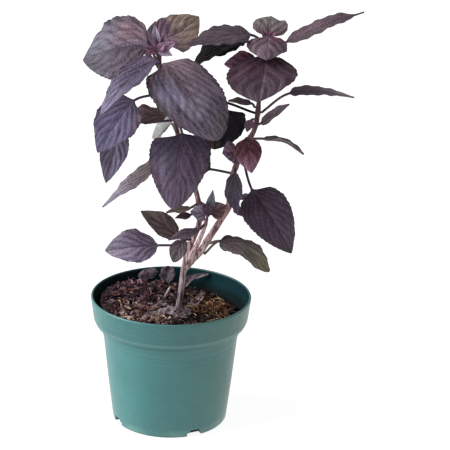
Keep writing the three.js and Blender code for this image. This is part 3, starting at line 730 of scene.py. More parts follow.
def earth_finish(name, cell, roughness, stops):
    earth = Finish(name)
    cells = earth.add("TexVoronoi", {"Vector": earth.where, "Scale": 1 / (cell * MM)}).outputs["Color"]
    earth.ground(earth.add("SeparateColor", {0: cells}).outputs[0], *stops)
    dust = earth.noise(700.0, 5.0, 0.65)
    earth.stain(earth.ranged(dust, 0.35, 0.7, 0.6, 0.0), "#120b08")
    if name not in DRY_ONES:
        sideways, backwards, _ = earth.places()
        # Painted light on the left, nearest the lamp, and painted shade on the right, where the soil is also
        # warmer.
        earth.stain(earth.ranged(sideways, 12, -20), (1.8, 1.5, 1.9), "MULTIPLY")
        earth.stain(earth.ranged(sideways, 0, 30), (0.8, 0.66, 0.52), "MULTIPLY")
        # Painted shade in front, under the rim.
        painted_shade_at_front = earth.ranged(earth.sums("MULTIPLY_ADD", dust, 8.0, backwards), -40, -50, 0.0, 0.6)
        earth.stain(painted_shade_at_front, (0.42, 0.38, 0.42), "MULTIPLY")
    earth.dent(dust, 0.5, 0.8)
    return earth.done(roughness, {"Specular IOR Level": 0.3})


for name, (piece, cell, roughness, *stops) in EARTHS.items():
    dressed = soil if piece == "soil_bed" else litter[piece]
    dressed.data.materials.append(earth_finish(name, cell, roughness, stops))
print("soil finishes:", list(EARTHS))

# %% [markdown]
# ## The stems
# A basil stem is a squarish rod that swells where leaves leave it. The CAD gives the middle line of each
# branch as a handful of points, and a smooth curve through them says where the stem is anywhere between.
# The same formula is repeated here, because the leaves are hung on that curve too.

# %% Curves through points
def on_curve(points, t):
    """Where a smooth curve through the points is at t, from 0 to 1. Fourth-root spacing keeps it calm."""
    points = np.asarray(points, float)
    last = len(points) - 1
    place = np.clip(np.asarray(t, float), 0, 1) * last
    i = np.minimum(np.floor(place).astype(int), last - 1)
    w = (place - i)[..., None]
    longer = np.vstack([2 * points[0] - points[1], points, 2 * points[-1] - points[-2]])
    a, b, c, d = (longer[i + k] for k in range(4))

    def gap(one, other):
        return np.maximum(np.sum((other - one) ** 2, -1, keepdims=True) ** 0.25, 1e-6)

    ab, bc, cd = gap(a, b), gap(b, c), gap(c, d)
    leave = ((b - a) / ab - (c - a) / (ab + bc) + (c - b) / bc) * bc
    arrive = ((c - b) / bc - (d - b) / (bc + cd) + (d - c) / cd) * bc
    squared, cubed = 3 * c - 3 * b - 2 * leave - arrive, 2 * b - 2 * c + leave + arrive
    return b + leave * w + squared * w ** 2 + cubed * w ** 3


def heading_on(points, t):
    return unit(on_curve(points, np.minimum(t + 1e-4, 1)) - on_curve(points, np.maximum(t - 1e-4, 0)))


def steps_along(line):
    return np.linalg.norm(np.diff(line, axis=0), axis=1)


def even_steps(points, count):
    """Values of t whose places lie evenly along the curve."""
    t = np.linspace(0, 1, 801)
    run = np.concatenate([[0], np.cumsum(steps_along(on_curve(points, t)))])
    return np.interp(np.linspace(0, 1, count), run / run[-1], t)


STEMS = {
    "trunk": SimpleNamespace(foot=2.15, tip=2.1, points=[
        (5, -6, 66), (5.2, -6, 82), (7, -5, 98), (8.8, -4, 114), (10.8, -4, 126)]),
    "left": SimpleNamespace(foot=2.1, tip=1.2, points=[
        (9.2, -4, 117), (11, -4.2, 127), (14.6, -5, 137), (18.6, -6, 148), (18.8, -5, 160), (14.8, -3, 176),
        (8.6, 0, 193), (3.4, 0, 209), (0.4, -3, 224), (-3.6, -7, 239), (-8, -12, 256), (-10.8, -15, 271)]),
    "middle": SimpleNamespace(foot=2, tip=1.3, points=[
        (9.4, -4, 117), (14.2, -6.5, 126.5), (19, -9, 137), (22.4, -11, 147), (24.2, -12, 155)]),
    "right": SimpleNamespace(foot=2.5, tip=1.2, points=[
        (9, -4, 114), (14, -3, 120), (19.8, -2, 126.5), (26.4, 0, 137), (34.4, 0, 151), (39.2, 0, 160),
        (39.8, 0, 172), (42, -1, 185.5), (46.6, -2, 198), (51.8, -2, 209), (55.6, 0, 217), (57.2, 2, 226.6),
        (58, 3, 238), (60, 2, 252), (61.6, 0, 265), (62.4, -1, 277)]),
}
for name, stem in STEMS.items():
    print(name, "runs", round(steps_along(on_curve(stem.points, np.linspace(0, 1, 400))).sum(), 1), "mm")

# %% [markdown]
# Next comes the list of leaves, because a stem swells exactly where they leave it. Each line says which
# branch a leaf grows from and how high, where its blade starts and ends, which way its upper face looks,
# and its width. The named numbers bend it: arch lifts the middle, fold and curl close or droop its halves,
# wave ripples its edge, blunt moves its widest place, full rounds it out, skew slants it, tail draws its
# end in to a long point and tooth is the distance between its teeth. All of that is the leaf's CAD form.
# Only quilt, how much the skin puffs up between its veins, is finer than the CAD.

# %% How a leaf is written down
PLAIN_FORM = dict(
    arch=0, fold=0.12, curl=0, wave=1, blunt=0.7, full=0.8, skew=0, tail=1, quilt=0.9, tooth=3.3)
VEIN_SPACING, FEWEST_VEINS = 9.5, 3.0
LEAVES = {}


def grown(base, tip, face, width, **form):
    """A leaf's form: what is the same in most leaves, changed where this one differs."""
    base, tip, face = (np.array(each, float) for each in (base, tip, face))
    length = float(np.linalg.norm(tip - base))
    veins = max(FEWEST_VEINS, round(length / VEIN_SPACING))
    own = {**PLAIN_FORM, "veins": veins, **form}
    return SimpleNamespace(base=base, tip=tip, face=face, width=width, length=length, **own)


def leaf(name, branch, height, base, tip, face, width, **form):
    LEAVES["leaf_" + name] = grown(base, tip, face, width, branch=branch, height=height, **form)


print("a leaf has", len(PLAIN_FORM), "numbers that bend it")

# %% [markdown]
# The left stem comes first, from its crown down. Basil leaves stand in pairs, and each pair is turned a
# quarter from the one below it, so that no leaf shades the next.

# %% Leaves of the left stem
# Crown
leaf("left_crown_outer", "left", 268, (-17.3, -14, 275.5), (-62, -2, 262.3), (-0.1, -0.75, 0.65), 49,
     arch=7, curl=-0.12, blunt=0.66)
leaf("left_crown_back", "left", 266, (-9, -6, 277.2), (15.5, 13, 291), (-0.25, -0.85, 0.4), 31,
     arch=-2, fold=0)
leaf("left_crown_small", "left", 269.5, (-15, 0.5, 271.5), (-14, 12, 287.3), (-0.1, -1, 0.3), 12,
     fold=0.1, wave=0.5)
leaf("left_crown_narrow", "left", 264, (-12, -21.5, 269), (-47, -45, 236.5), (-0.45, -0.65, 0.6), 20,
     arch=4, fold=0.3)
leaf("left_front_large", "left", 260, (-6, -21, 266), (30.5, -40, 219.5), (0.1, -0.9, 0.4), 44,
     arch=7, curl=-0.15, blunt=0.78, full=0.6, skew=0.3, quilt=0.7)
# Second tier
leaf("left_hanging", "left", 243, (-26, -15, 239), (-50, -30, 206), (-0.3, -0.85, 0.3), 32, arch=4)
leaf("left_brown", "left", 228, (-5, -5, 226), (-36, -9, 222), (0, -0.3, 1), 22, arch=2)
leaf("left_low_tip", "left", 222, (-36, 4, 214), (-45.5, -14, 179.5), (-0.1, -0.9, 0.2), 20, arch=3)
leaf("centre_large", "left", 224, (6, -14, 216.5), (1.5, -33, 168), (0, -0.95, 0.3), 42.5,
     arch=5, curl=-0.1, blunt=0.54, full=0.62)
leaf("left_pale", "left", 213, (-2, 5, 217.5), (-15.2, 22, 205.3), (-0.2, -0.7, 0.7), 22, arch=2)
leaf("left_back_upper", "left", 250, (1, 6, 249.5), (14, 42, 233), (0, 0.3, 1), 30, arch=5)
leaf("left_back_crown", "left", 258, (-17, 4, 265), (-42, 34, 262), (0, 0.2, 1), 28, arch=5)
# Third tier
leaf("left_slender", "left", 194, (-5, 2, 192.5), (-48.5, -8, 160), (-0.3, -0.35, 0.9), 16,
     fold=0.3, blunt=0.6)
leaf("left_back_middle", "left", 196, (5, 12, 195), (-6, 46, 181), (0, 0.3, 1), 28, arch=5)
leaf("left_olive", "left", 163, (13, -9, 161.5), (-4, -14, 159.3), (0, -0.2, 1), 9, wave=0.5)
leaf("left_young", "left", 157, (13, -9, 156.3), (2.5, -14, 155.5), (0, -0.6, 0.8), 6, wave=0.3)
print(len(LEAVES), "leaves on the left stem")

# %% [markdown]
# The lowest leaves sit where the branches part. They get the least light, so most are small and creased.

# %% Low leaves
leaf("low_left", "left", 131, (-8.8, -8, 132.7), (-45.5, -20, 132), (0, -0.75, 0.65), 25,
     arch=3, full=0.75, blunt=0.9)
leaf("low_left_upper", "left", 132, (4, 1, 136.5), (-22.5, 7, 152.5), (0.2, -0.6, 0.5), 17, arch=2)
leaf("low_small", "left", 137, (8.2, -11.5, 137.8), (1.8, -19, 124.5), (-0.3, -0.9, 0.2), 12.5,
     arch=2, blunt=0.8, full=0.6, quilt=1.5)
leaf("low_crinkled", "middle", 150, (19.5, -15.5, 148.2), (-2, -22, 142), (-0.2, -0.7, 0.7), 8, wave=1.2)
leaf("low_right", "right", 134, (33, -8, 137.1), (68.6, -23.5, 121.2), (0.25, -0.35, 0.9), 22,
     arch=8, curl=-0.2, blunt=0.85, full=0.6)
leaf("low_right_lower", "right", 127, (33, -3, 135), (61.3, -13, 121), (0.2, -0.45, 0.9), 14, arch=5)
print(len(LEAVES), "leaves with the low ones")

# %% [markdown]
# The right stem is the taller one. It is listed from its lowest tier up to its crown, whose long narrow
# leaf reaches farther to the right than any other.

# %% Leaves of the right stem
# Lowest tier
leaf("right_large", "right", 196, (54.5, -5, 175), (83.3, -18, 133), (0.2, -0.9, 0.3), 34,
     arch=4, blunt=0.66, quilt=0.5)
leaf("right_hanging", "right", 189, (42.8, -6.8, 187), (45.5, -16, 159), (-0.75, -0.6, 0.2), 17, arch=2)
leaf("centre_back", "right", 184, (26, 7, 184.5), (8, 20, 178), (0, -0.5, 0.8), 18, arch=2)
leaf("right_back_low", "right", 165, (50, 9, 163), (69, 36, 150), (0, 0.3, 1), 24, arch=4)
leaf("right_node_small", "right", 161, (43, -3, 160.5), (50.5, -9, 156), (0, -0.6, 0.8), 7, wave=0.4)
# Third tier
leaf("right_thin", "right", 211, (61, 0, 209.8), (90, -4, 200.8), (0, 0.2, 0.98), 20, arch=4, wave=0.5)
leaf("right_red", "right", 210, (49.5, -9, 212), (54, -24, 192.5), (0, -0.9, 0.3), 19.5, arch=3, fold=-0.15)
leaf("right_red_side", "right", 199, (44.2, -6.5, 201.2), (34, -14, 203), (-0.2, -0.8, 0.5), 18, wave=0.5)
# Fourth tier
leaf("centre_shaded", "right", 227, (30.5, 6, 232.5), (28, 2, 200.5), (0, -1, 0.2), 41,
     arch=3, blunt=0.66, full=0.72)
leaf("right_narrow", "right", 228, (77, 2, 241.3), (123.3, 8, 238.8), (0, -0.25, 1), 14,
     arch=3, blunt=0.62, wave=0, full=1, quilt=0.3)
leaf("right_young", "right", 220, (59.3, -3.6, 221.6), (78, -9, 237.4), (-0.3, -0.4, 0.8), 11, wave=0.4)
leaf("right_bud_lower", "right", 223, (53, -4, 224), (50, -7, 216.5), (-0.6, -0.7, 0.1), 8, wave=0.4)
leaf("right_bud_upper", "right", 231, (53, 2, 234), (37, -2, 237), (0, -0.2, 1), 11, wave=0.4)
leaf("right_back_upper", "right", 247, (60, 12, 248), (66, 44, 238), (0, 0.3, 1), 28, arch=5)
# Fifth tier
leaf("right_front_large", "right", 264, (61, -8, 270), (56.5, -38, 246), (0.05, -0.7, 0.8), 47.5,
     arch=5, curl=-0.1, blunt=1.05, skew=-0.22, full=0.9)
leaf("right_front_side", "right", 262, (56, -1.5, 262), (33.5, -5, 263), (0, -0.75, 0.65), 19, fold=0.2)
# Crown
leaf("right_crown_left", "right", 277, (51.6, -2.8, 282.8), (8.5, -9, 276.5), (0, -0.2, 1), 32,
     arch=3, curl=-0.1, wave=0.3, quilt=0.35)
leaf("right_crown_under", "right", 274, (49, 6.5, 276), (10.8, 7, 256.8), (-0.2, -0.2, 1), 31,
     arch=4, blunt=0.8, skew=-0.15, wave=0.4)
leaf("right_crown_back", "right", 277.5, (63.5, 2.5, 280.5), (64.6, 20, 291), (0, -0.75, 0.65), 24.5,
     arch=3, fold=0)
leaf("right_crown_front", "right", 276, (62, -7, 283), (61.3, -23, 271), (0, -0.8, 0.6), 28,
     arch=1, fold=-0.1)
leaf("right_crown_long", "right", 275, (73.5, 0, 277.4), (127, 10, 298), (-0.3, -0.3, 0.9), 18,
     arch=1.5, wave=0.8, blunt=0.85, full=0.9, tail=0.2)
longest = max(each.length for each in LEAVES.values())
print(len(LEAVES), "leaves in all, the longest", round(longest, 1), "mm")

# %% [markdown]
# Each branch becomes a tube, and then all four are remeshed as one skin so that the forks flow together as
# living wood does. Joining them with a boolean would leave a sharp line at every fork.

# %% Stem skin
TUBE_STEPS, TUBE_SIDES, SQUARENESS = 150, 20, 0.07
STEM_ASIDE = (0.2, 0.98, 0.05)
SWELLING, SWELLING_REACH = 0.16, 1.7
SKIN_CELL, SOFTENING = 0.42, 3


def branch_tube(name, stem):
    """A squarish tube with a swelling at every leaf."""
    t = even_steps(stem.points, TUBE_STEPS)
    centre = on_curve(stem.points, t)
    radius = stem.foot + (stem.tip - stem.foot) * np.linspace(0, 1, TUBE_STEPS)
    for height in sorted({each.height for each in LEAVES.values() if each.branch == name}):
        radius = radius * (1 + SWELLING * np.exp(-((centre[:, 2] - height) / SWELLING_REACH) ** 2))
    heading = heading_on(stem.points, t)
    return tube(centre, heading, STEM_ASIDE, radius, TUBE_SIDES, SQUARENESS, way=-1)


stems = heap("stem_skin", [branch_tube(name, stem) for name, stem in STEMS.items()], "stem", smooth=True)
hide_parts("stems")
fuse = stems.modifiers.new("fuse", "REMESH")
fuse.mode = "VOXEL"
fuse.voxel_size = SKIN_CELL * MM
settle(stems)
stems.modifiers.new("soften", "SMOOTH").iterations = SOFTENING
settle(stems)
stems.data.polygons.foreach_set("use_smooth", [True] * len(stems.data.polygons))
print("stems", triangles(stems), "triangles")

# %% [markdown]
# Old basil stems turn woody and pale pinkish grey near the soil and stay maroon above. Height gives that
# change, and the palest band, where the branches part, is partly a painted highlight. A noise drawn out along
# the stem gives its lengthwise fibres, with painted highlights along some of them. The stub beside the trunk
# is what is left of a shoot that was cut: dry and pale, with a painted highlight that makes it brightest at
# the cut.

# %% Stem finish and the dry stub
STEM_TOP = 300
# Pale pinkish grey near the soil and maroon above; the palest band, where the branches part, is partly a
# painted highlight.
STEM_TONES_WITH_HIGHLIGHT = [
    (78, "#75666a"), (90, "#a3949a"), (108, "#c6b0b3"), (130, "#e6c6c6"), (152, "#bd9094"),
    (170, "#8a6468"), (210, "#66403f"), (250, "#57333a"), (300, "#523040"),
]
STUB_FOOT, STUB_TOP = 78, 97

woody = Finish("maroon_stem")
_, _, height = woody.places()
strands = woody.streaks((720.0, 720.0, 80.0), 4.0)
woody.ground(woody.sums("DIVIDE", height, STEM_TOP), *((z / STEM_TOP, code) for z, code in STEM_TONES_WITH_HIGHLIGHT))
woody.stain(woody.ranged(strands, 0.4, 0.54, 0.9, 0.0), "#4a2430")
# Near-white streaks: painted highlights along the fibres.
woody.stain(woody.ranged(strands, 0.58, 0.7, 0.0, 0.45), "#f6e4e2")
woody.stain(woody.ranged(woody.noise(140.0, 3.0), 0.52, 0.7, 0.0, 0.45), "#a86f70")
woody.dent(strands, 0.25, 0.7)
stems.data.materials.clear()
stems.data.materials.append(woody.done(woody.ranged(strands, 0.3, 0.7, 0.42, 0.62)))

stub_line = on_curve([(-7.5, 7, 74), (-6.5, 7, 83), (-0.8, 8, 96)], np.linspace(0, 1, 24))
stub_path = np.vstack([stub_line[:1] - (0, 0, 0.3), stub_line])
stub_parts = [thread(stub_path, np.linspace(1.3, 0.9, len(stub_path)), sides=12)]
for _ in range(5):
    start = stub_line[-3] + np.array([dice.uniform(-0.5, 0.5), dice.uniform(-0.5, 0.5), 0])
    splinter = np.linspace(start, start + (dice.uniform(0.2, 1), 0.1, dice.uniform(1, 2.2)), 5)
    stub_parts.append(thread(splinter, 0.25))
stub = heap("dry_stub", stub_parts, "dead_stub", smooth=True)
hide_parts("cut_stub")
dry = Finish("dry_stub_wood")
_, _, height = dry.places()
# Lighter towards the top: a painted highlight at the cut.
dry.ground(dry.ranged(height, STUB_FOOT, STUB_TOP), (0.0, "#65555b"), (0.55, "#94858c"), (1.0, "#d9cdcb"))
strands = dry.streaks((1500.0, 1500.0, 160.0), 3.0)
dry.stain(dry.ranged(strands, 0.4, 0.65, 0.55, 0.0), "#5a484c")
dry.dent(strands, 0.3, 0.8)
dry_wood = dry.done(0.8)
stub.data.materials.append(dry_wood)
print("stub tip at", [round(float(c), 1) for c in stub_line[-1]], "mm")

# %% [markdown]
# ## A leaf blade
# A basil leaf is a quilt: a sunken midrib, side veins that sweep towards the tip, and a skin that puffs up
# between them, ending in small forward-leaning teeth. It could be drawn flat and given a bump map, but
# from the side it would stay flat. So the grid itself is bent: across is u, from -1 to 1, and along is s,
# from 0 at the stalk to 1 at the tip. The vein number counts side veins along each half, so veins lie at
# its whole values.

# %% Where a blade lies
STALK_RADIUS, STALK_GAP = 0.9, 0.35


def stalk_foot(leaf):
    """Where the leaf's stalk starts inside the branch, and where it leaves the branch's skin."""
    stem = STEMS[leaf.branch]
    t = even_steps(stem.points, 401)
    centres = on_curve(stem.points, t)
    i = int(np.argmin(np.abs(centres[:, 2] - leaf.height)))
    centre, heading = centres[i], heading_on(stem.points, t[i:i + 1])[0]
    radius = stem.foot + (stem.tip - stem.foot) * i / 400
    reach = leaf.base - centre
    reach = unit(reach - reach.dot(heading) * heading)
    start = centre + reach * radius
    climb = abs(unit(leaf.base - start).dot(heading))
    return centre, start + reach * (STALK_GAP + STALK_RADIUS * climb)


def midrib(leaf, t):
    """The midrib's places, and at each of them the ways onwards, across and up from the face."""
    along = unit(leaf.tip - leaf.base)
    face = unit(leaf.face - leaf.face.dot(along) * along)
    spine = [leaf.start, leaf.base, (leaf.base + leaf.tip) / 2 + face * leaf.arch, leaf.tip]
    centre, heading = on_curve(spine, t), heading_on(spine, t)
    side = np.cross(face, heading)
    side[np.linalg.norm(side, axis=1) < 0.2] = np.cross(face, along)
    side = unit(side - np.sum(side * heading, 1)[:, None] * heading)
    return centre, heading, side, np.cross(heading, side)


def vein_number(leaf, u, s, seed):
    """Counts side veins from the stalk. One half is a third of a vein ahead of the other."""
    sweep = 0.75 * np.abs(u) ** 1.15 * (1 - 0.4 * s)
    stray = 0.16 * bumps(u * leaf.width / 2, s * leaf.length, 15, seed + 7)
    return (s - sweep) * leaf.veins + np.where(u > 0, 0.33, 0.0) + stray


for each in LEAVES.values():
    each.root, each.start = stalk_foot(each)
starts = [each.start[2] for each in LEAVES.values()]
print("stalks leave the stems between", round(min(starts)), "and", round(max(starts)), "mm above the table")

# %% [markdown]
# The blade's surface is the sum of its forms, from large to small: fold and curl, the ripple of the edge,
# the quilt between the veins, and the furrow of the midrib. Folds, wrinkles, buckles and the frill of the
# edge come on top, each with a height and a size in mm. At the stalk the sheet closes to a round rod, so
# stalk and blade are one skin.

# %% Blade form
TOOTH_BITE, STALK_END, TAIL_START, TAIL_LENGTH = 0.04, 0.1, 0.78, 0.12
RIB_WIDTH, RIB_DEPTH, THINNEST = 0.9, 0.8, 0.35
FOLDS, WRINKLES, BUCKLES, FRILL = (0.34, 3.4), (0.16, 1.9), (0.9, 15), (0.6, 8.5)
SKIN_ABOVE, SKIN_BELOW, MIDDLE_BELOW, RIB_BELOW = 0.15, 0.22, 0.38, 0.45
ROWS_PER_MM, FEWEST_ROWS, MOST_ROWS, STALK_ROWS = 1.4, 22, 84, 9


def eased(share):
    """A share from 0 to 1 that starts and ends gently."""
    share = np.clip(share, 0, 1)
    return share * share * (3 - 2 * share)


def blade_skin(leaf, u, t_row, s_row, seed):
    """The upper and lower skin of a leaf, and the distance from its midrib, in mm."""
    centre, heading, side, over = midrib(leaf, t_row)
    u, s = u[None, :], s_row[:, None]
    edge, half, run = np.abs(u), leaf.width / 2, s * leaf.length
    shape = np.clip(np.sin(math.pi * s ** leaf.blunt), 0, 1) ** leaf.full
    shape = shape * (1 - (1 - leaf.tail) * eased((s - TAIL_START) / TAIL_LENGTH))
    teeth = max(5, round(leaf.length / leaf.tooth))
    tooth = (1 - (s * teeth) % 1) * np.clip((s - 0.06) * 12, 0, 1) * np.clip((0.985 - s) * 14, 0, 1)
    reach = np.maximum(half * shape, THINNEST)
    out = u * reach * (1 - TOOTH_BITE * tooth * edge ** 6)
    from_rib = np.abs(out)
    rib = np.exp(-(from_rib / RIB_WIDTH) ** 2)

    veins = vein_number(leaf, u + 0 * s, s + 0 * u, seed)
    swell = np.minimum(edge * 5, 1) * (1 - edge ** 4)
    quilt = leaf.quilt * (np.abs(np.sin(math.pi * veins)) ** 0.75 - 0.6) * swell
    folds = FOLDS[0] * bumps(veins * leaf.length / leaf.veins, from_rib * 0.45, FOLDS[1], seed) * swell
    wrinkles = WRINKLES[0] * bumps(out, run, WRINKLES[1], seed + 2)
    buckles = BUCKLES[0] * bumps(out, run, BUCKLES[1], seed + 1) * edge
    frill = FRILL[0] * np.sin(2 * math.pi * run / FRILL[1] + seed + 2 * (u > 0)) * edge ** 4
    scale = min(1, half / 14) * np.minimum(shape * 1.3, 1)
    lift = reach * (leaf.fold * edge + leaf.curl * edge ** 2)
    lift = lift + scale * (quilt + folds + wrinkles + buckles + frill - RIB_DEPTH * rib)
    lift = lift + leaf.wave * np.sin(9 * s + np.where(u > 0, 1, 3)) * edge ** 2 * np.minimum(shape, 1)
    lean = half * 0.025 * edge * shape + leaf.skew * u * reach

    bend, opened = math.pi / 2 * u, eased(s / STALK_END)
    rod_out, rod_up = STALK_RADIUS * np.sin(bend), STALK_RADIUS * np.cos(bend) * (1 - opened)
    out_here, lift_here, lean_here = rod_out * (1 - opened) + out * opened, lift * opened, lean * opened
    above = rod_up + SKIN_ABOVE * opened
    below = rod_up + (SKIN_BELOW + MIDDLE_BELOW * (1 - edge) ** 2 + RIB_BELOW * rib) * opened
    middle = centre[:, None] + side[:, None] * out_here[..., None] + heading[:, None] * lean_here[..., None]
    upper = middle + over[:, None] * (lift_here + above)[..., None]
    return upper, middle + over[:, None] * (lift_here - below)[..., None], from_rib


print("a blade has", STALK_ROWS, "rows in its stalk and up to", MOST_ROWS, "in its sheet")

# %% [markdown]
# ## Leaf finishes
# No two leaves of a purple basil are quite the same colour: young ones are maroon, old ones grey-violet,
# and a few keep some green; leaves deep in shade are painted nearly black, as painted shade. One drawing
# serves them all and each leaf fills in its own tones: three along the blade, painted light on one half and
# painted shade on the other, a few soft spots, the veins and the edge. Streaks of painted light and shade
# fan out from the stalk, as over fine pleats. The vein furrows get painted shade, the puffs between them a
# painted sheen, and the edge is a thin line, dark by default as painted shade. The net of fine veins is a
# cell pattern about 1.8 mm wide, which also dents the skin.

# %% Leaf drawing
def leaf_finish(name, tones, halves=(1, 1), spots=(), vein=("#4a3846", 0.35), edge=("#2a1e28", 0.6),
                bloom="#8a7c8c", fan=0.16, furrow=0.8, gloss=0.5, shine=0.28, relief=0.55):
    skin = Finish(name)
    ranged, times, plus, sums = skin.ranged, skin.times, skin.plus, skin.sums
    blade = skin.add("UVMap", uv_map="blade").outputs[0]
    across, along, _ = skin.add("SeparateXYZ", {0: blade}).outputs
    veins, from_rib, _ = skin.add("SeparateXYZ", {0: skin.add("UVMap", uv_map="veins").outputs[0]}).outputs
    cloud = skin.noise(120.0, 3.0, 0.6)
    skin.ground(sums("MULTIPLY_ADD", cloud, 0.3, plus(along, -0.15)), *zip((0.08, 0.45, 0.92), tones.split()))
    # One half of the blade is made lighter and the other darker: painted light and painted shade.
    minus_half, plus_half = ((shade,) * 3 for shade in halves)
    ragged_across = sums("MULTIPLY_ADD", cloud, 0.16, plus(across, -0.08))
    skin.stain(1.0, skin.spread(ragged_across, [(0.47, minus_half), (0.53, plus_half)]), "MULTIPLY")
    for spot_u, spot_s, radius, code, amount in spots:
        du, ds = plus(across, -(spot_u + 1) / 2), plus(along, -spot_s)
        far = sums("MULTIPLY_ADD", cloud, 0.2, plus(sums("SQRT", plus(times(du, du), times(ds, ds))), -0.1))
        skin.stain(ranged(far, radius, radius * 0.3, 0.0, amount), code)

    off_vein = sums("PINGPONG", veins, 0.5)
    side_vein = ranged(off_vein, 0.0, ranged(across, 0.0, 0.5, 0.03, 0.075), 1.0, 0.0)
    middle_vein = ranged(from_rib, 0.25, 0.75, 1.0, 0.0)
    start = (sum(map(ord, name)) % 17, len(name) % 5, 0)
    fanned = skin.add("Mapping", {"Vector": blade, "Location": start, "Scale": (13.0, 1.7, 1.0)}).outputs[0]
    fan_shade = ranged(skin.noise(1.0, 3.0, at=fanned, distortion=0.7), 0.3, 0.7, 1 - fan, 1 + fan)
    blotch_shade = ranged(skin.noise(95.0), 0.3, 0.7, 0.84, 1.16)
    # Painted shade in the vein furrows and painted light on the puffs between them, times painted streaks of
    # light and shade that fan from the stalk and random blotches of tone.
    skin.shade(times(ranged(off_vein, 0.02, 0.42, furrow, 1.06), times(fan_shade, blotch_shade)))

    net, speck = skin.net(560.0), skin.noise(650.0, 3.0)
    vein_tone, vein_share = vein
    edge_tone, edge_share = edge
    off_middle = sums("ABSOLUTE", sums("MULTIPLY_ADD", across, 2.0, -1.0))
    # Painted sheen on the puffs between the veins.
    skin.stain(ranged(off_vein, 0.22, 0.5, 0.0, 0.1), bloom)
    skin.stain(ranged(net, 0.0, 0.14, 0.24, 0.0), "#1c121b")
    both_veins = sums("MAXIMUM", times(side_vein, vein_share), times(middle_vein, min(1, vein_share * 1.6)))
    skin.stain(both_veins, vein_tone)
    # The edge line, dark by default: painted shade.
    skin.stain(ranged(off_middle, 0.9, 1.0, 0.0, edge_share), edge_tone)
    # Speckles of painted sheen.
    skin.stain(ranged(speck, 0.4, 0.75, 0.0, 0.16), bloom)
    furrows = times(sums("MAXIMUM", side_vein, middle_vein), -0.4)
    skin.dent(plus(plus(ranged(net, 0.0, 0.3, 0.0, 0.28), furrows), times(speck, 0.12)), 1, relief)
    velvet = {"Specular IOR Level": shine, "Sheen Weight": 0.04, "Sheen Tint": (0.75, 0.68, 0.85, 1)}
    return skin.done(ranged(speck, 0.3, 0.7, gloss - 0.08, gloss + 0.1), velvet)


print("one drawing serves", len(LEAVES), "leaves")

# %% [markdown]
# Each leaf gets its own look. The three codes run from the stalk to the tip, the pair for the halves paints
# one half lighter and the other darker, as painted light and painted shade, the sheen code is a painted
# sheen, and a spot has a place across and along, a size, a code and a strength; a few spots are painted
# shade and painted light. Whatever a line leaves out is as in most leaves.

# %% Looks of the left and the low leaves
LOOKS = {}


def look(name, tones, **more):
    LOOKS["leaf_" + name] = dict(tones=tones, **more)


look("left_crown_outer", "#755f6f #645b6b #5d5867", halves=(1.06, 0.7), vein=("#3a2e3c", 0.55),
     bloom="#a29bae", fan=0.42, furrow=0.86, spots=[(-0.5, 0.25, 0.24, "#937078", 0.65),
     (-0.2, 0.42, 0.14, "#856c80", 0.5), (0.5, 0.38, 0.34, "#453242", 0.7),
     (-0.3, 0.8, 0.25, "#747082", 0.5)])
look("left_crown_back", "#84687f #8f7972 #7f6e5d", halves=(0.98, 1.05), vein=("#4a3a42", 0.4), fan=0.3,
     spots=[(0.6, 0.25, 0.3, "#866a88", 0.7), (0.0, 0.98, 0.12, "#3c4432", 0.7),
     (0.3, 0.6, 0.2, "#8d7c72", 0.5)])
look("left_crown_small", "#675a6a #6f6373 #6a5e6a")
look("left_crown_narrow", "#4f3f58 #564a63 #8f87a4", halves=(1.08, 0.9), vein=("#43364c", 0.4),
     bloom="#a9a0c0", fan=0.3, spots=[(-0.2, 0.1, 0.14, "#9d7f9c", 0.6)])
look("left_front_large", "#7c646e #645567 #5a4d5e", halves=(1.08, 0.84), vein=("#7a5c64", 0.22),
     edge=("#33292e", 0.7), bloom="#a39bb2", fan=0.46, furrow=0.84,
     spots=[(-0.42, 0.13, 0.26, "#a4858a", 0.85), (-0.5, 0.34, 0.26, "#7a7590", 0.8),
     (-0.15, 0.6, 0.2, "#90869b", 0.8), (0.3, 0.55, 0.12, "#857b89", 0.7), (0.15, 0.26, 0.12, "#463545", 0.6),
     (-0.92, 0.5, 0.14, "#3b352f", 0.7), (0.45, 0.3, 0.12, "#4b3c4a", 0.5),
     (0.75, 0.85, 0.2, "#4a433f", 0.6)])
look("left_hanging", "#54455a #62587a #585270", halves=(1.06, 0.86), bloom="#8f8cb4", vein=("#3a3044", 0.45),
     spots=[(-0.95, 0.5, 0.18, "#2b2f33", 0.7), (0.9, 0.3, 0.25, "#60434f", 0.65),
     (0.1, 0.4, 0.2, "#655c86", 0.5)])
look("left_brown", "#684d4a #6f5554 #604a46", vein=("#3b2c30", 0.4))
look("left_low_tip", "#4c404f #655c72 #665d76", halves=(1.0, 0.9), bloom="#8d88a6", edge=("#3a3431", 0.6))
look("centre_large", "#4b3a52 #614a62 #5e5064", halves=(1.1, 0.74), vein=("#7a5d74", 0.26), bloom="#857c98",
     fan=0.26, furrow=0.88, spots=[(-0.55, 0.38, 0.32, "#6c677c", 0.75), (-0.6, 0.12, 0.18, "#655c74", 0.7),
     (0.6, 0.16, 0.2, "#382838", 0.7), (0.0, 0.0, 0.12, "#332740", 0.7), (0.85, 0.4, 0.2, "#3b2a38", 0.5)])
look("left_pale", "#9ba09c #a6aaa6 #989c98", bloom="#c4c8c4", vein=("#85897f", 0.3), edge=("#8a8c88", 0.3))
look("left_back_upper", "#5c4d5a #64566a #5d5060")
look("left_back_crown", "#6a5d6a #6e6272 #685d6c")
look("left_slender", "#7d6a50 #84747a #a29cb4", halves=(1.0, 0.88), bloom="#bab5c8", vein=("#5b4a50", 0.4),
     fan=0.3, spots=[(-0.2, 0.12, 0.2, "#8a7858", 0.6)])
look("left_back_middle", "#564852 #5f5260 #584c58")
look("left_olive", "#5a4a40 #6a5c50 #645a4c", vein=("#47402f", 0.3), bloom="#a09a86")
look("left_young", "#5a4648 #665456 #5d4c50")
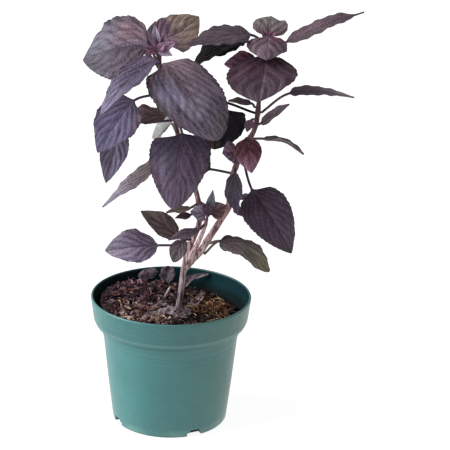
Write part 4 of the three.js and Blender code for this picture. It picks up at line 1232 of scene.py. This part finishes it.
look("low_left", "#73617c #86758f #9a8fa5", halves=(0.84, 1.1), bloom="#b4aec0", vein=("#574a60", 0.4),
     spots=[(0.2, 0.95, 0.2, "#aba7ab", 0.6)])
look("low_left_upper", "#66504d #6a5757 #64574f", vein=("#43322f", 0.45), edge=("#2c2322", 0.7), fan=0.24)
look("low_small", "#3c3036 #5e5058 #4c4044", bloom="#94899a", vein=("#2a2024", 0.55), edge=("#2a1f24", 0.8),
     fan=0.3)
look("low_crinkled", "#3d2c3a #5a4858 #665664", bloom="#98889a", edge=("#8a7684", 0.7), vein=("#2c1e2a", 0.5))
look("low_right", "#493b43 #655859 #8a816a", halves=(0.88, 1.08), vein=("#8d8578", 0.5), bloom="#9c9498")
look("low_right_lower", "#433a38 #524c42 #5f5a44", vein=("#857e60", 0.45))
print(len(LOOKS), "looks so far")

# %% [markdown]
# The right stem holds the extremes: leaves deep in shade, painted nearly black as painted shade, and folded
# young ones that are still maroon and lighten towards their tips.

# %% Looks of the right leaves
look("right_large", "#3f2b3e #473347 #4a3949", halves=(0.94, 1.04), vein=("#2b1d29", 0.45),
     edge=("#5c5a46", 0.55), bloom="#77687f", fan=0.22, furrow=0.92)
look("right_hanging", "#34292f #42364a #44364e", bloom="#757090", spots=[(0.4, 0.3, 0.25, "#2b2a2c", 0.6)])
look("centre_back", "#33282f #3d323b #382d36", bloom="#6a6270")
look("right_back_low", "#4a3c47 #544552 #4e404c")
look("right_node_small", "#6a5864 #75636f #6c5a66")
look("right_thin", "#4f5048 #57574e #54544c", bloom="#a5a39c", edge=("#3c3e36", 0.5))
look("right_red", "#55222c #64303a #a57892", halves=(1.0, 0.85), vein=("#34141b", 0.4), bloom="#a07c96",
     gloss=0.42, edge=("#7d7a66", 0.5), fan=0.24)
look("right_red_side", "#6a4258 #96708c #987a92", bloom="#c0a6c4", vein=("#5c3a50", 0.4),
     spots=[(0.3, 0.2, 0.2, "#5c3548", 0.6)])
# Near-black tones: painted shade.
look("centre_shaded", "#0c0810 #0e0a12 #151017", bloom="#2a2a3c", vein=("#08060c", 0.4), fan=0.3, shine=0.15,
     spots=[(0.25, 0.93, 0.16, "#4f4a30", 0.7), (-0.5, 0.88, 0.34, "#684842", 0.65),
     (0.7, 0.75, 0.14, "#3a2a44", 0.6)])
look("right_narrow", "#4b3a46 #6b5a67 #a59aa3", halves=(0.82, 1.1), vein=("#43343f", 0.5), bloom="#aba3ab",
     edge=("#57504c", 0.5))
look("right_young", "#6b5560 #7a6672 #756572", edge=("#4a3f40", 0.6))
look("right_bud_lower", "#5b3c50 #66465a #5e4254")
look("right_bud_upper", "#4c3c44 #5b4a54 #565048")
look("right_back_upper", "#54454f #5d4e5c #564854")
# The dark spots at the base: painted shade under the leaves above.
look("right_front_large", "#3a1c28 #472c3b #544050", halves=(1.0, 0.92), vein=("#2e1722", 0.45),
     edge=("#2a161f", 0.75), bloom="#7d6a7c", fan=0.3, furrow=0.86, spots=[(0.0, 0.04, 0.26, "#2a0c18", 0.85),
     (-0.5, 0.2, 0.18, "#35141f", 0.6), (0.45, 0.18, 0.24, "#35141f", 0.65),
     (0.0, 0.72, 0.2, "#5e4c58", 0.5)])
look("right_front_side", "#3a0f1f #6a3a4c #b58aa2", bloom="#b890a6", gloss=0.42, edge=("#5a3444", 0.6),
     fan=0.24)
look("right_crown_left", "#43323c #4b3a45 #4e3f49", halves=(1.0, 0.92), vein=("#2e2029", 0.45),
     bloom="#7d6e78", fan=0.34, edge=("#241a22", 0.8))
# Near-black tones: painted shade under the leaf above; the pale spot at the tip: painted light.
look("right_crown_under", "#0b0609 #0c0709 #18131a", bloom="#201e28", vein=("#0b070a", 0.4),
     edge=("#0d080c", 0.7), shine=0.1, spots=[(0.0, 0.99, 0.17, "#5c5b6c", 0.7)])
look("right_crown_back", "#5c3a46 #716668 #75706a", bloom="#b0a9a9", vein=("#51464c", 0.35), fan=0.26,
     spots=[(-0.65, 0.45, 0.35, "#5b4b4e", 0.7), (0.0, 0.05, 0.2, "#4a2432", 0.8)])
look("right_crown_front", "#5c3d4b #6d5a66 #655360", halves=(1.25, 0.8), bloom="#a08f9d",
     vein=("#4b3a46", 0.4), edge=("#4f4a3c", 0.6), spots=[(0.5, 0.25, 0.25, "#4f2d3c", 0.6),
     (0.45, 0.04, 0.2, "#5a1830", 0.8)])
look("right_crown_long", "#5c4850 #5f4b53 #4a3c45", halves=(0.9, 1.1), vein=("#3d2c34", 0.5), relief=0.8,
     fan=0.3, edge=("#34282e", 0.8))
print(len(LOOKS), "looks in all")

# %% [markdown]
# The two skins become one closed sheet. It carries two maps. The first says how far across and along the
# blade a corner lies, and the second counts the side veins up to it and measures how far it is from the
# midrib, so the finish draws its veins exactly where the form has them. The lower face of a leaf is paler
# and duller, and its veins stand out in maroon. One finish serves all of them, as hardly any lower face is
# seen.

# %% A blade as a piece
lower_face = leaf_finish(
    "leaf_lower_face", "#6a5260 #6f5a68 #6a5664", vein=("#7f5a6c", 0.6), bloom="#9c8c9a", relief=0, gloss=0.6)


def sheet_faces(rows, columns):
    """Faces of a thin closed sheet: a grid above, the same grid below, and the strip that joins them."""
    above = grid_faces(rows, columns)
    number = np.arange(rows * columns).reshape(rows, columns)
    edge = np.concatenate([number[:, 0], number[-1, 1:], number[-2::-1, -1], number[0, -2::-1]])
    here, after, down = edge[:-1], edge[1:], rows * columns
    return above, above[:, ::-1] + down, np.stack([here, after, after + down, here + down], -1)


def put_map(piece, name, across, along):
    """Gives each corner of each face a place on a named map, for the finish to be drawn on."""
    layer = piece.data.uv_layers.new(name=name)
    layer.data.foreach_set("uv", np.stack([across, along], -1).ravel())


def leaf_piece(name, node, leaf, finish, seed, slot, columns=37):
    blade_rows = int(np.clip(leaf.length * ROWS_PER_MM, FEWEST_ROWS, MOST_ROWS))
    on_blade = np.linspace(0, 1, blade_rows)
    s_row = np.concatenate([np.zeros(STALK_ROWS), on_blade])
    t_row = np.concatenate([np.linspace(0, 1 / 3, STALK_ROWS, endpoint=False), (1 + 2 * on_blade) / 3])
    u = np.sin(np.linspace(-1, 1, columns) * math.pi / 2 * 0.9) / math.sin(math.pi / 2 * 0.9)
    upper, under, from_rib = blade_skin(leaf, u, t_row, s_row, seed)
    root_first = np.arange(-1, len(s_row)).clip(0)
    upper, under, from_rib, s_row = (rows[root_first] for rows in (upper, under, from_rib, s_row))
    upper[0] += leaf.root - leaf.start
    under[0] += leaf.root - leaf.start

    top_faces, low_faces, rim = sheet_faces(len(s_row), columns)
    faces = np.vstack([top_faces, low_faces, rim])
    piece = mesh_piece(name, np.concatenate([upper, under]).reshape(-1, 3), faces, slot, node)
    corner = faces % (len(s_row) * columns)
    corner_u, corner_s = u[corner % columns], s_row[corner // columns]
    own_half = 1e-6 * np.sign(corner_u.mean(axis=1, keepdims=True))
    signed = np.where(np.abs(corner_u) < 1e-6, own_half, corner_u)
    put_map(piece, "blade", (corner_u + 1) / 2, corner_s)
    put_map(piece, "veins", vein_number(leaf, signed, corner_s, seed), from_rib.reshape(-1)[corner])
    piece.data.materials.append(finish)
    piece.data.materials.append(lower_face)
    is_under = np.repeat([0, 1, 0], [len(top_faces), len(low_faces), len(rim)])
    piece.data.polygons.foreach_set("material_index", is_under.tolist())
    return piece


print("lower face finish:", lower_face.name)

# %% [markdown]
# Now every blade is made, and its box is compared with the box of its CAD node, because a finer leaf must
# hang exactly where the plain one did.

# %% Make the leaves
SLOT_OF = {part["node"]: part["material_slot"] for part in frame["record"]["subparts"]}
SEEDS_PER_LEAF = 10

leaf_total, worst = 0, (0, "")
for order, (name, form) in enumerate(LEAVES.items()):
    finish, seed = leaf_finish("skin_" + name[5:], **LOOKS[name]), SEEDS_PER_LEAF * order
    piece = leaf_piece(name.replace("leaf", "blade"), name, form, finish, seed, SLOT_OF[name])
    leaf_total += triangles(piece)
    low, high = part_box(name)
    spots = np.array([v.co for v in piece.data.vertices])
    off = max(abs(spots.min(0) - np.array(low)).max(), abs(spots.max(0) - np.array(high)).max()) / MM
    worst = max(worst, (off, name))
print("leaves", leaf_total, "triangles; farthest from its CAD box:", worst[1], round(worst[0], 2), "mm")

# %% [markdown]
# ## The growing tips
# At the end of each branch sit blades that have not opened yet, glossier than the rest and of several
# colours: maroon while they are folded, lilac or brown once they open. They are made as small leaves that
# share one foot, and each bunch is one piece because it grows from one point. Their angles differ so that
# the bunch radiates.

# %% Growing tips
SHOOT_LOOKS = {
    "maroon": ("#5a2a44 #80506f #9c7a96", "#c8a9c2", ("#3c1f32", 0.45), 0.4),
    "pink": ("#6c3f5d #a07392 #b591ac", "#d4b6cc", ("#4a2840", 0.45), 0.42),
    "lilac": ("#7c667f #9d8ba4 #aaa0b3", "#cbc3d2", ("#574660", 0.4), 0.45),
    "slate": ("#4c4550 #6d6a78 #858494", "#a8a8b8", ("#3a3440", 0.35), 0.45),
    "plum": ("#3c2630 #533a48 #5e4655", "#7f6878", ("#2a1822", 0.4), 0.42),
    "brown": ("#4a3038 #694b52 #7b6264", "#9c8488", ("#3a2228", 0.4), 0.42),
}
SHOOT_FORM = dict(fold=0.25, wave=0.3, veins=3.0, tooth=2.2)
SHOOT_COLUMNS, FIRST_SEED, SEEDS_PER_TIP = 17, 500, 20
TIPS = {
    "tip_left": ("left", [
        ((-13.4, -14, 290.6), 6.5, (0, -1, 0.1), "lilac"),
        ((-17.6, -16, 286.8), 3.6, (-0.2, -1, 0.1), "maroon"),
        ((1.2, -18, 280.4), 6.5, (0.2, -0.9, 0.4), "pink"),
        ((-1.3, -20, 271.9), 6.5, (0.2, -0.8, 0.6), "lilac"),
        ((-22, -18, 276.3), 5, (-0.2, -0.8, 0.5), "maroon"),
        ((-19, -20.5, 272.6), 4, (-0.3, -0.8, 0.5), "maroon"),
        ((-5.7, -14, 285.3), 7, (0, -1, 0.1), "maroon"),
        ((-6.2, -20, 280.4), 5.5, (0.1, -0.9, 0.4), "pink")]),
    "tip_middle": ("middle", [
        ((13, -19, 162), 12, (-0.2, -0.8, 0.5), "lilac"),
        ((19.2, -14, 168), 7, (-0.1, -1, 0.1), "plum"),
        ((25, -16, 166.5), 7, (0, -0.9, 0.3), "plum"),
        ((28, -14, 176), 6.5, (0.2, -1, 0.1), "slate"),
        ((37.5, -11, 164.5), 13, (0, -0.9, 0.4), "brown")]),
    "tip_right": ("right", [
        ((67, -4, 287), 5, (0, -0.9, 0.3), "maroon"),
        ((58.5, -3, 287), 5, (0, -0.9, 0.3), "maroon")]),
}
shoot_finishes = {
    key: leaf_finish("young_shoot_" + key, tones, bloom=bloom, vein=vein, gloss=gloss)
    for key, (tones, bloom, vein, gloss) in SHOOT_LOOKS.items()}


def joined(pieces, name):
    """Makes one piece of several."""
    bpy.ops.object.select_all(action="DESELECT")
    for piece in pieces:
        piece.select_set(True)
    bpy.context.view_layer.objects.active = pieces[0]
    bpy.ops.object.join()
    pieces[0].name = name
    return pieces[0]


for order, (name, (branch, blades)) in enumerate(TIPS.items()):
    points = STEMS[branch].points
    end, heading = np.array(points[-1], float), heading_on(points, np.array([1.0]))[0]
    start, root = end + heading, end - heading * 1.5
    parts = []
    for k, (tip, width, face, tint) in enumerate(blades):
        base = (start + heading * 1.5) * 0.88 + np.array(tip) * 0.12
        small = grown(base, tip, face, width, start=start, root=root, **SHOOT_FORM)
        finish, seed = shoot_finishes[tint], FIRST_SEED + SEEDS_PER_TIP * order + k
        parts.append(leaf_piece(f"{name}_blade_{k}", None, small, finish, seed, "shoot", SHOOT_COLUMNS))
    bunch = joined(parts, name.replace("tip", "shoot"))
    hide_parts(name)
    print(bunch.name, triangles(bunch), "triangles")

# %% [markdown]
# ## Fallen leaves
# Under an old basil the soil is strewn with what it dropped: grey-pink leaves dried to strips, one curled
# round the trunk, some in front of it, some leaning on the wall at the back, and the dead runner that the
# stub belonged to. A scrap is a thin sheet laid along a path over the soil, narrow at both ends, curled
# across and dented. Nothing in the CAD stands for it, so these pieces only ride with the plant.

# %% Fallen leaves
SCRAP_ROWS, SCRAP_COLUMNS, SCRAP_THICKNESS = 30, 11, 0.45
ON_SOIL = (0, -0.5, 0.85)
RUNNER_SPOTS = np.array([(-6, 5), (-9, -4), (-13, -14), (-16, -22)])
RUNNER_STEPS = np.linspace(0, 1, 30)
RUNNER_STRANDS = [((0, 0), 1.3, 1.3, 10), ((3, 1), 1.1, 0.7, 8), ((-2, -4), 1.2, 0.5, 8)]


def over_soil(spots, lift):
    """Places above the soil for a row of x, y spots."""
    return [(x, y, soil_at(x, y) + lift) for x, y in spots]


def scrap(path, width, face, curl, seed):
    """A dried strip of leaf along a path, as points and faces."""
    line = on_curve(path, np.linspace(0, 1, SCRAP_ROWS))
    heading = unit(np.gradient(line, axis=0))
    side = unit(np.cross(np.array(face, float), heading))
    over = np.cross(heading, side)
    s, u = np.linspace(0, 1, SCRAP_ROWS)[:, None], np.linspace(-1, 1, SCRAP_COLUMNS)[None, :]
    run = s * float(steps_along(line).sum())
    half = width / 2 * (0.22 + 0.78 * np.sin(math.pi * s ** 0.85) ** 0.6)
    half = half * (1 + 0.16 * bumps(run, np.sign(u) * 20 + 0 * s, 5, seed))
    lift = curl * half * u ** 2 + 0.5 * bumps(u * half, run, 4.5, seed + 1)
    lift = lift + 0.25 * bumps(u * half, run, 2, seed + 2)
    middle = line[:, None] + side[:, None] * (u * half)[..., None]
    half_thick = SCRAP_THICKNESS / 2
    skins = [middle + over[:, None] * (lift + up)[..., None] for up in (half_thick, -half_thick)]
    faces = np.vstack(sheet_faces(SCRAP_ROWS, SCRAP_COLUMNS))
    return np.concatenate(skins).reshape(-1, 3).tolist(), faces.tolist()


def dried_leaf(name, *tones):
    dried = Finish(name)
    patches = dried.noise(160.0, 4.0, 0.65)
    dried.ground(patches, *zip((0.3, 0.5, 0.7), tones))
    dried.stain(dried.ranged(dried.net(480.0), 0.0, 0.1, 0.4, 0.0), "#2c2126")
    dried.dent(patches, 0.5, 0.8)
    return dried.done(0.75)


fallen = heap("fallen_leaves", [
    scrap(over_soil([(-9, -3), (-3, -9), (4, -10.5), (9.5, -8)], 2.0), 6, ON_SOIL, 0.5, 900),
    scrap(over_soil([(-17, -28), (-10, -21), (-2, -18), (6, -20)], 1.8), 5, ON_SOIL, 0.4, 950),
    scrap(over_soil([(6, -17), (12, -11), (19, -3)], 1.6), 4.5, (0.1, -0.5, 0.85), 0.4, 960),
    scrap(over_soil([(10, -7), (14, 6), (18, 19), (23.5, 37)], 1.6), 6, (0.2, -0.3, 0.9), 0.4, 910),
], "leaf_dark", smooth=True)
fallen.data.materials.append(dried_leaf("dried_leaf", "#604f57", "#95838a", "#cbb9bb"))
shaded_litter = heap("shaded_litter", [
    scrap([(-25.4, 42.5, 88.2), (-18.5, 45.5, 90.5), (-11.6, 49, 91.6)], 8.5, (0.1, -0.9, 0.45), -0.25, 920),
    scrap([(-6, 45.5, 84.5), (-4.6, 49.4, 89.2), (-3, 52.4, 94.2)], 11.5, (0.1, -0.9, 0.4), 0.25, 930),
    scrap([(8, 42, 81.5), (12, 46.5, 87), (26, 47.5, 91)], 4.5, (0.1, -0.8, 0.5), 0.3, 940),
], "leaf_dark", smooth=True)
# Darker, duller tones for the leaves at the back: painted shade, where they lie in the shade of the wall.
shaded_litter.data.materials.append(dried_leaf("damp_leaf", "#362e33", "#685b62", "#8b7c83"))
runner = heap("dead_runner", [
    thread(on_curve(over_soil(RUNNER_SPOTS + beside, lift), RUNNER_STEPS), thickness, sides)
    for beside, lift, thickness, sides in RUNNER_STRANDS
], "dead_stub", smooth=True)
runner.data.materials.append(dry_wood)
for piece in (fallen, shaded_litter, runner):
    print(piece.name, triangles(piece), "triangles")

# %% [markdown]
# ## Last look at the sizes
# The dressed plant must be as large as its CAD model.

# %% Sizes and finish
dressed_box = [list(corner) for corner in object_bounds()]
for axis in range(3):
    past = [round((dressed_box[k][axis] - cad_box[k][axis]) / MM, 2) for k in (0, 1)]
    print("xyz"[axis], past, "mm beyond the CAD box")
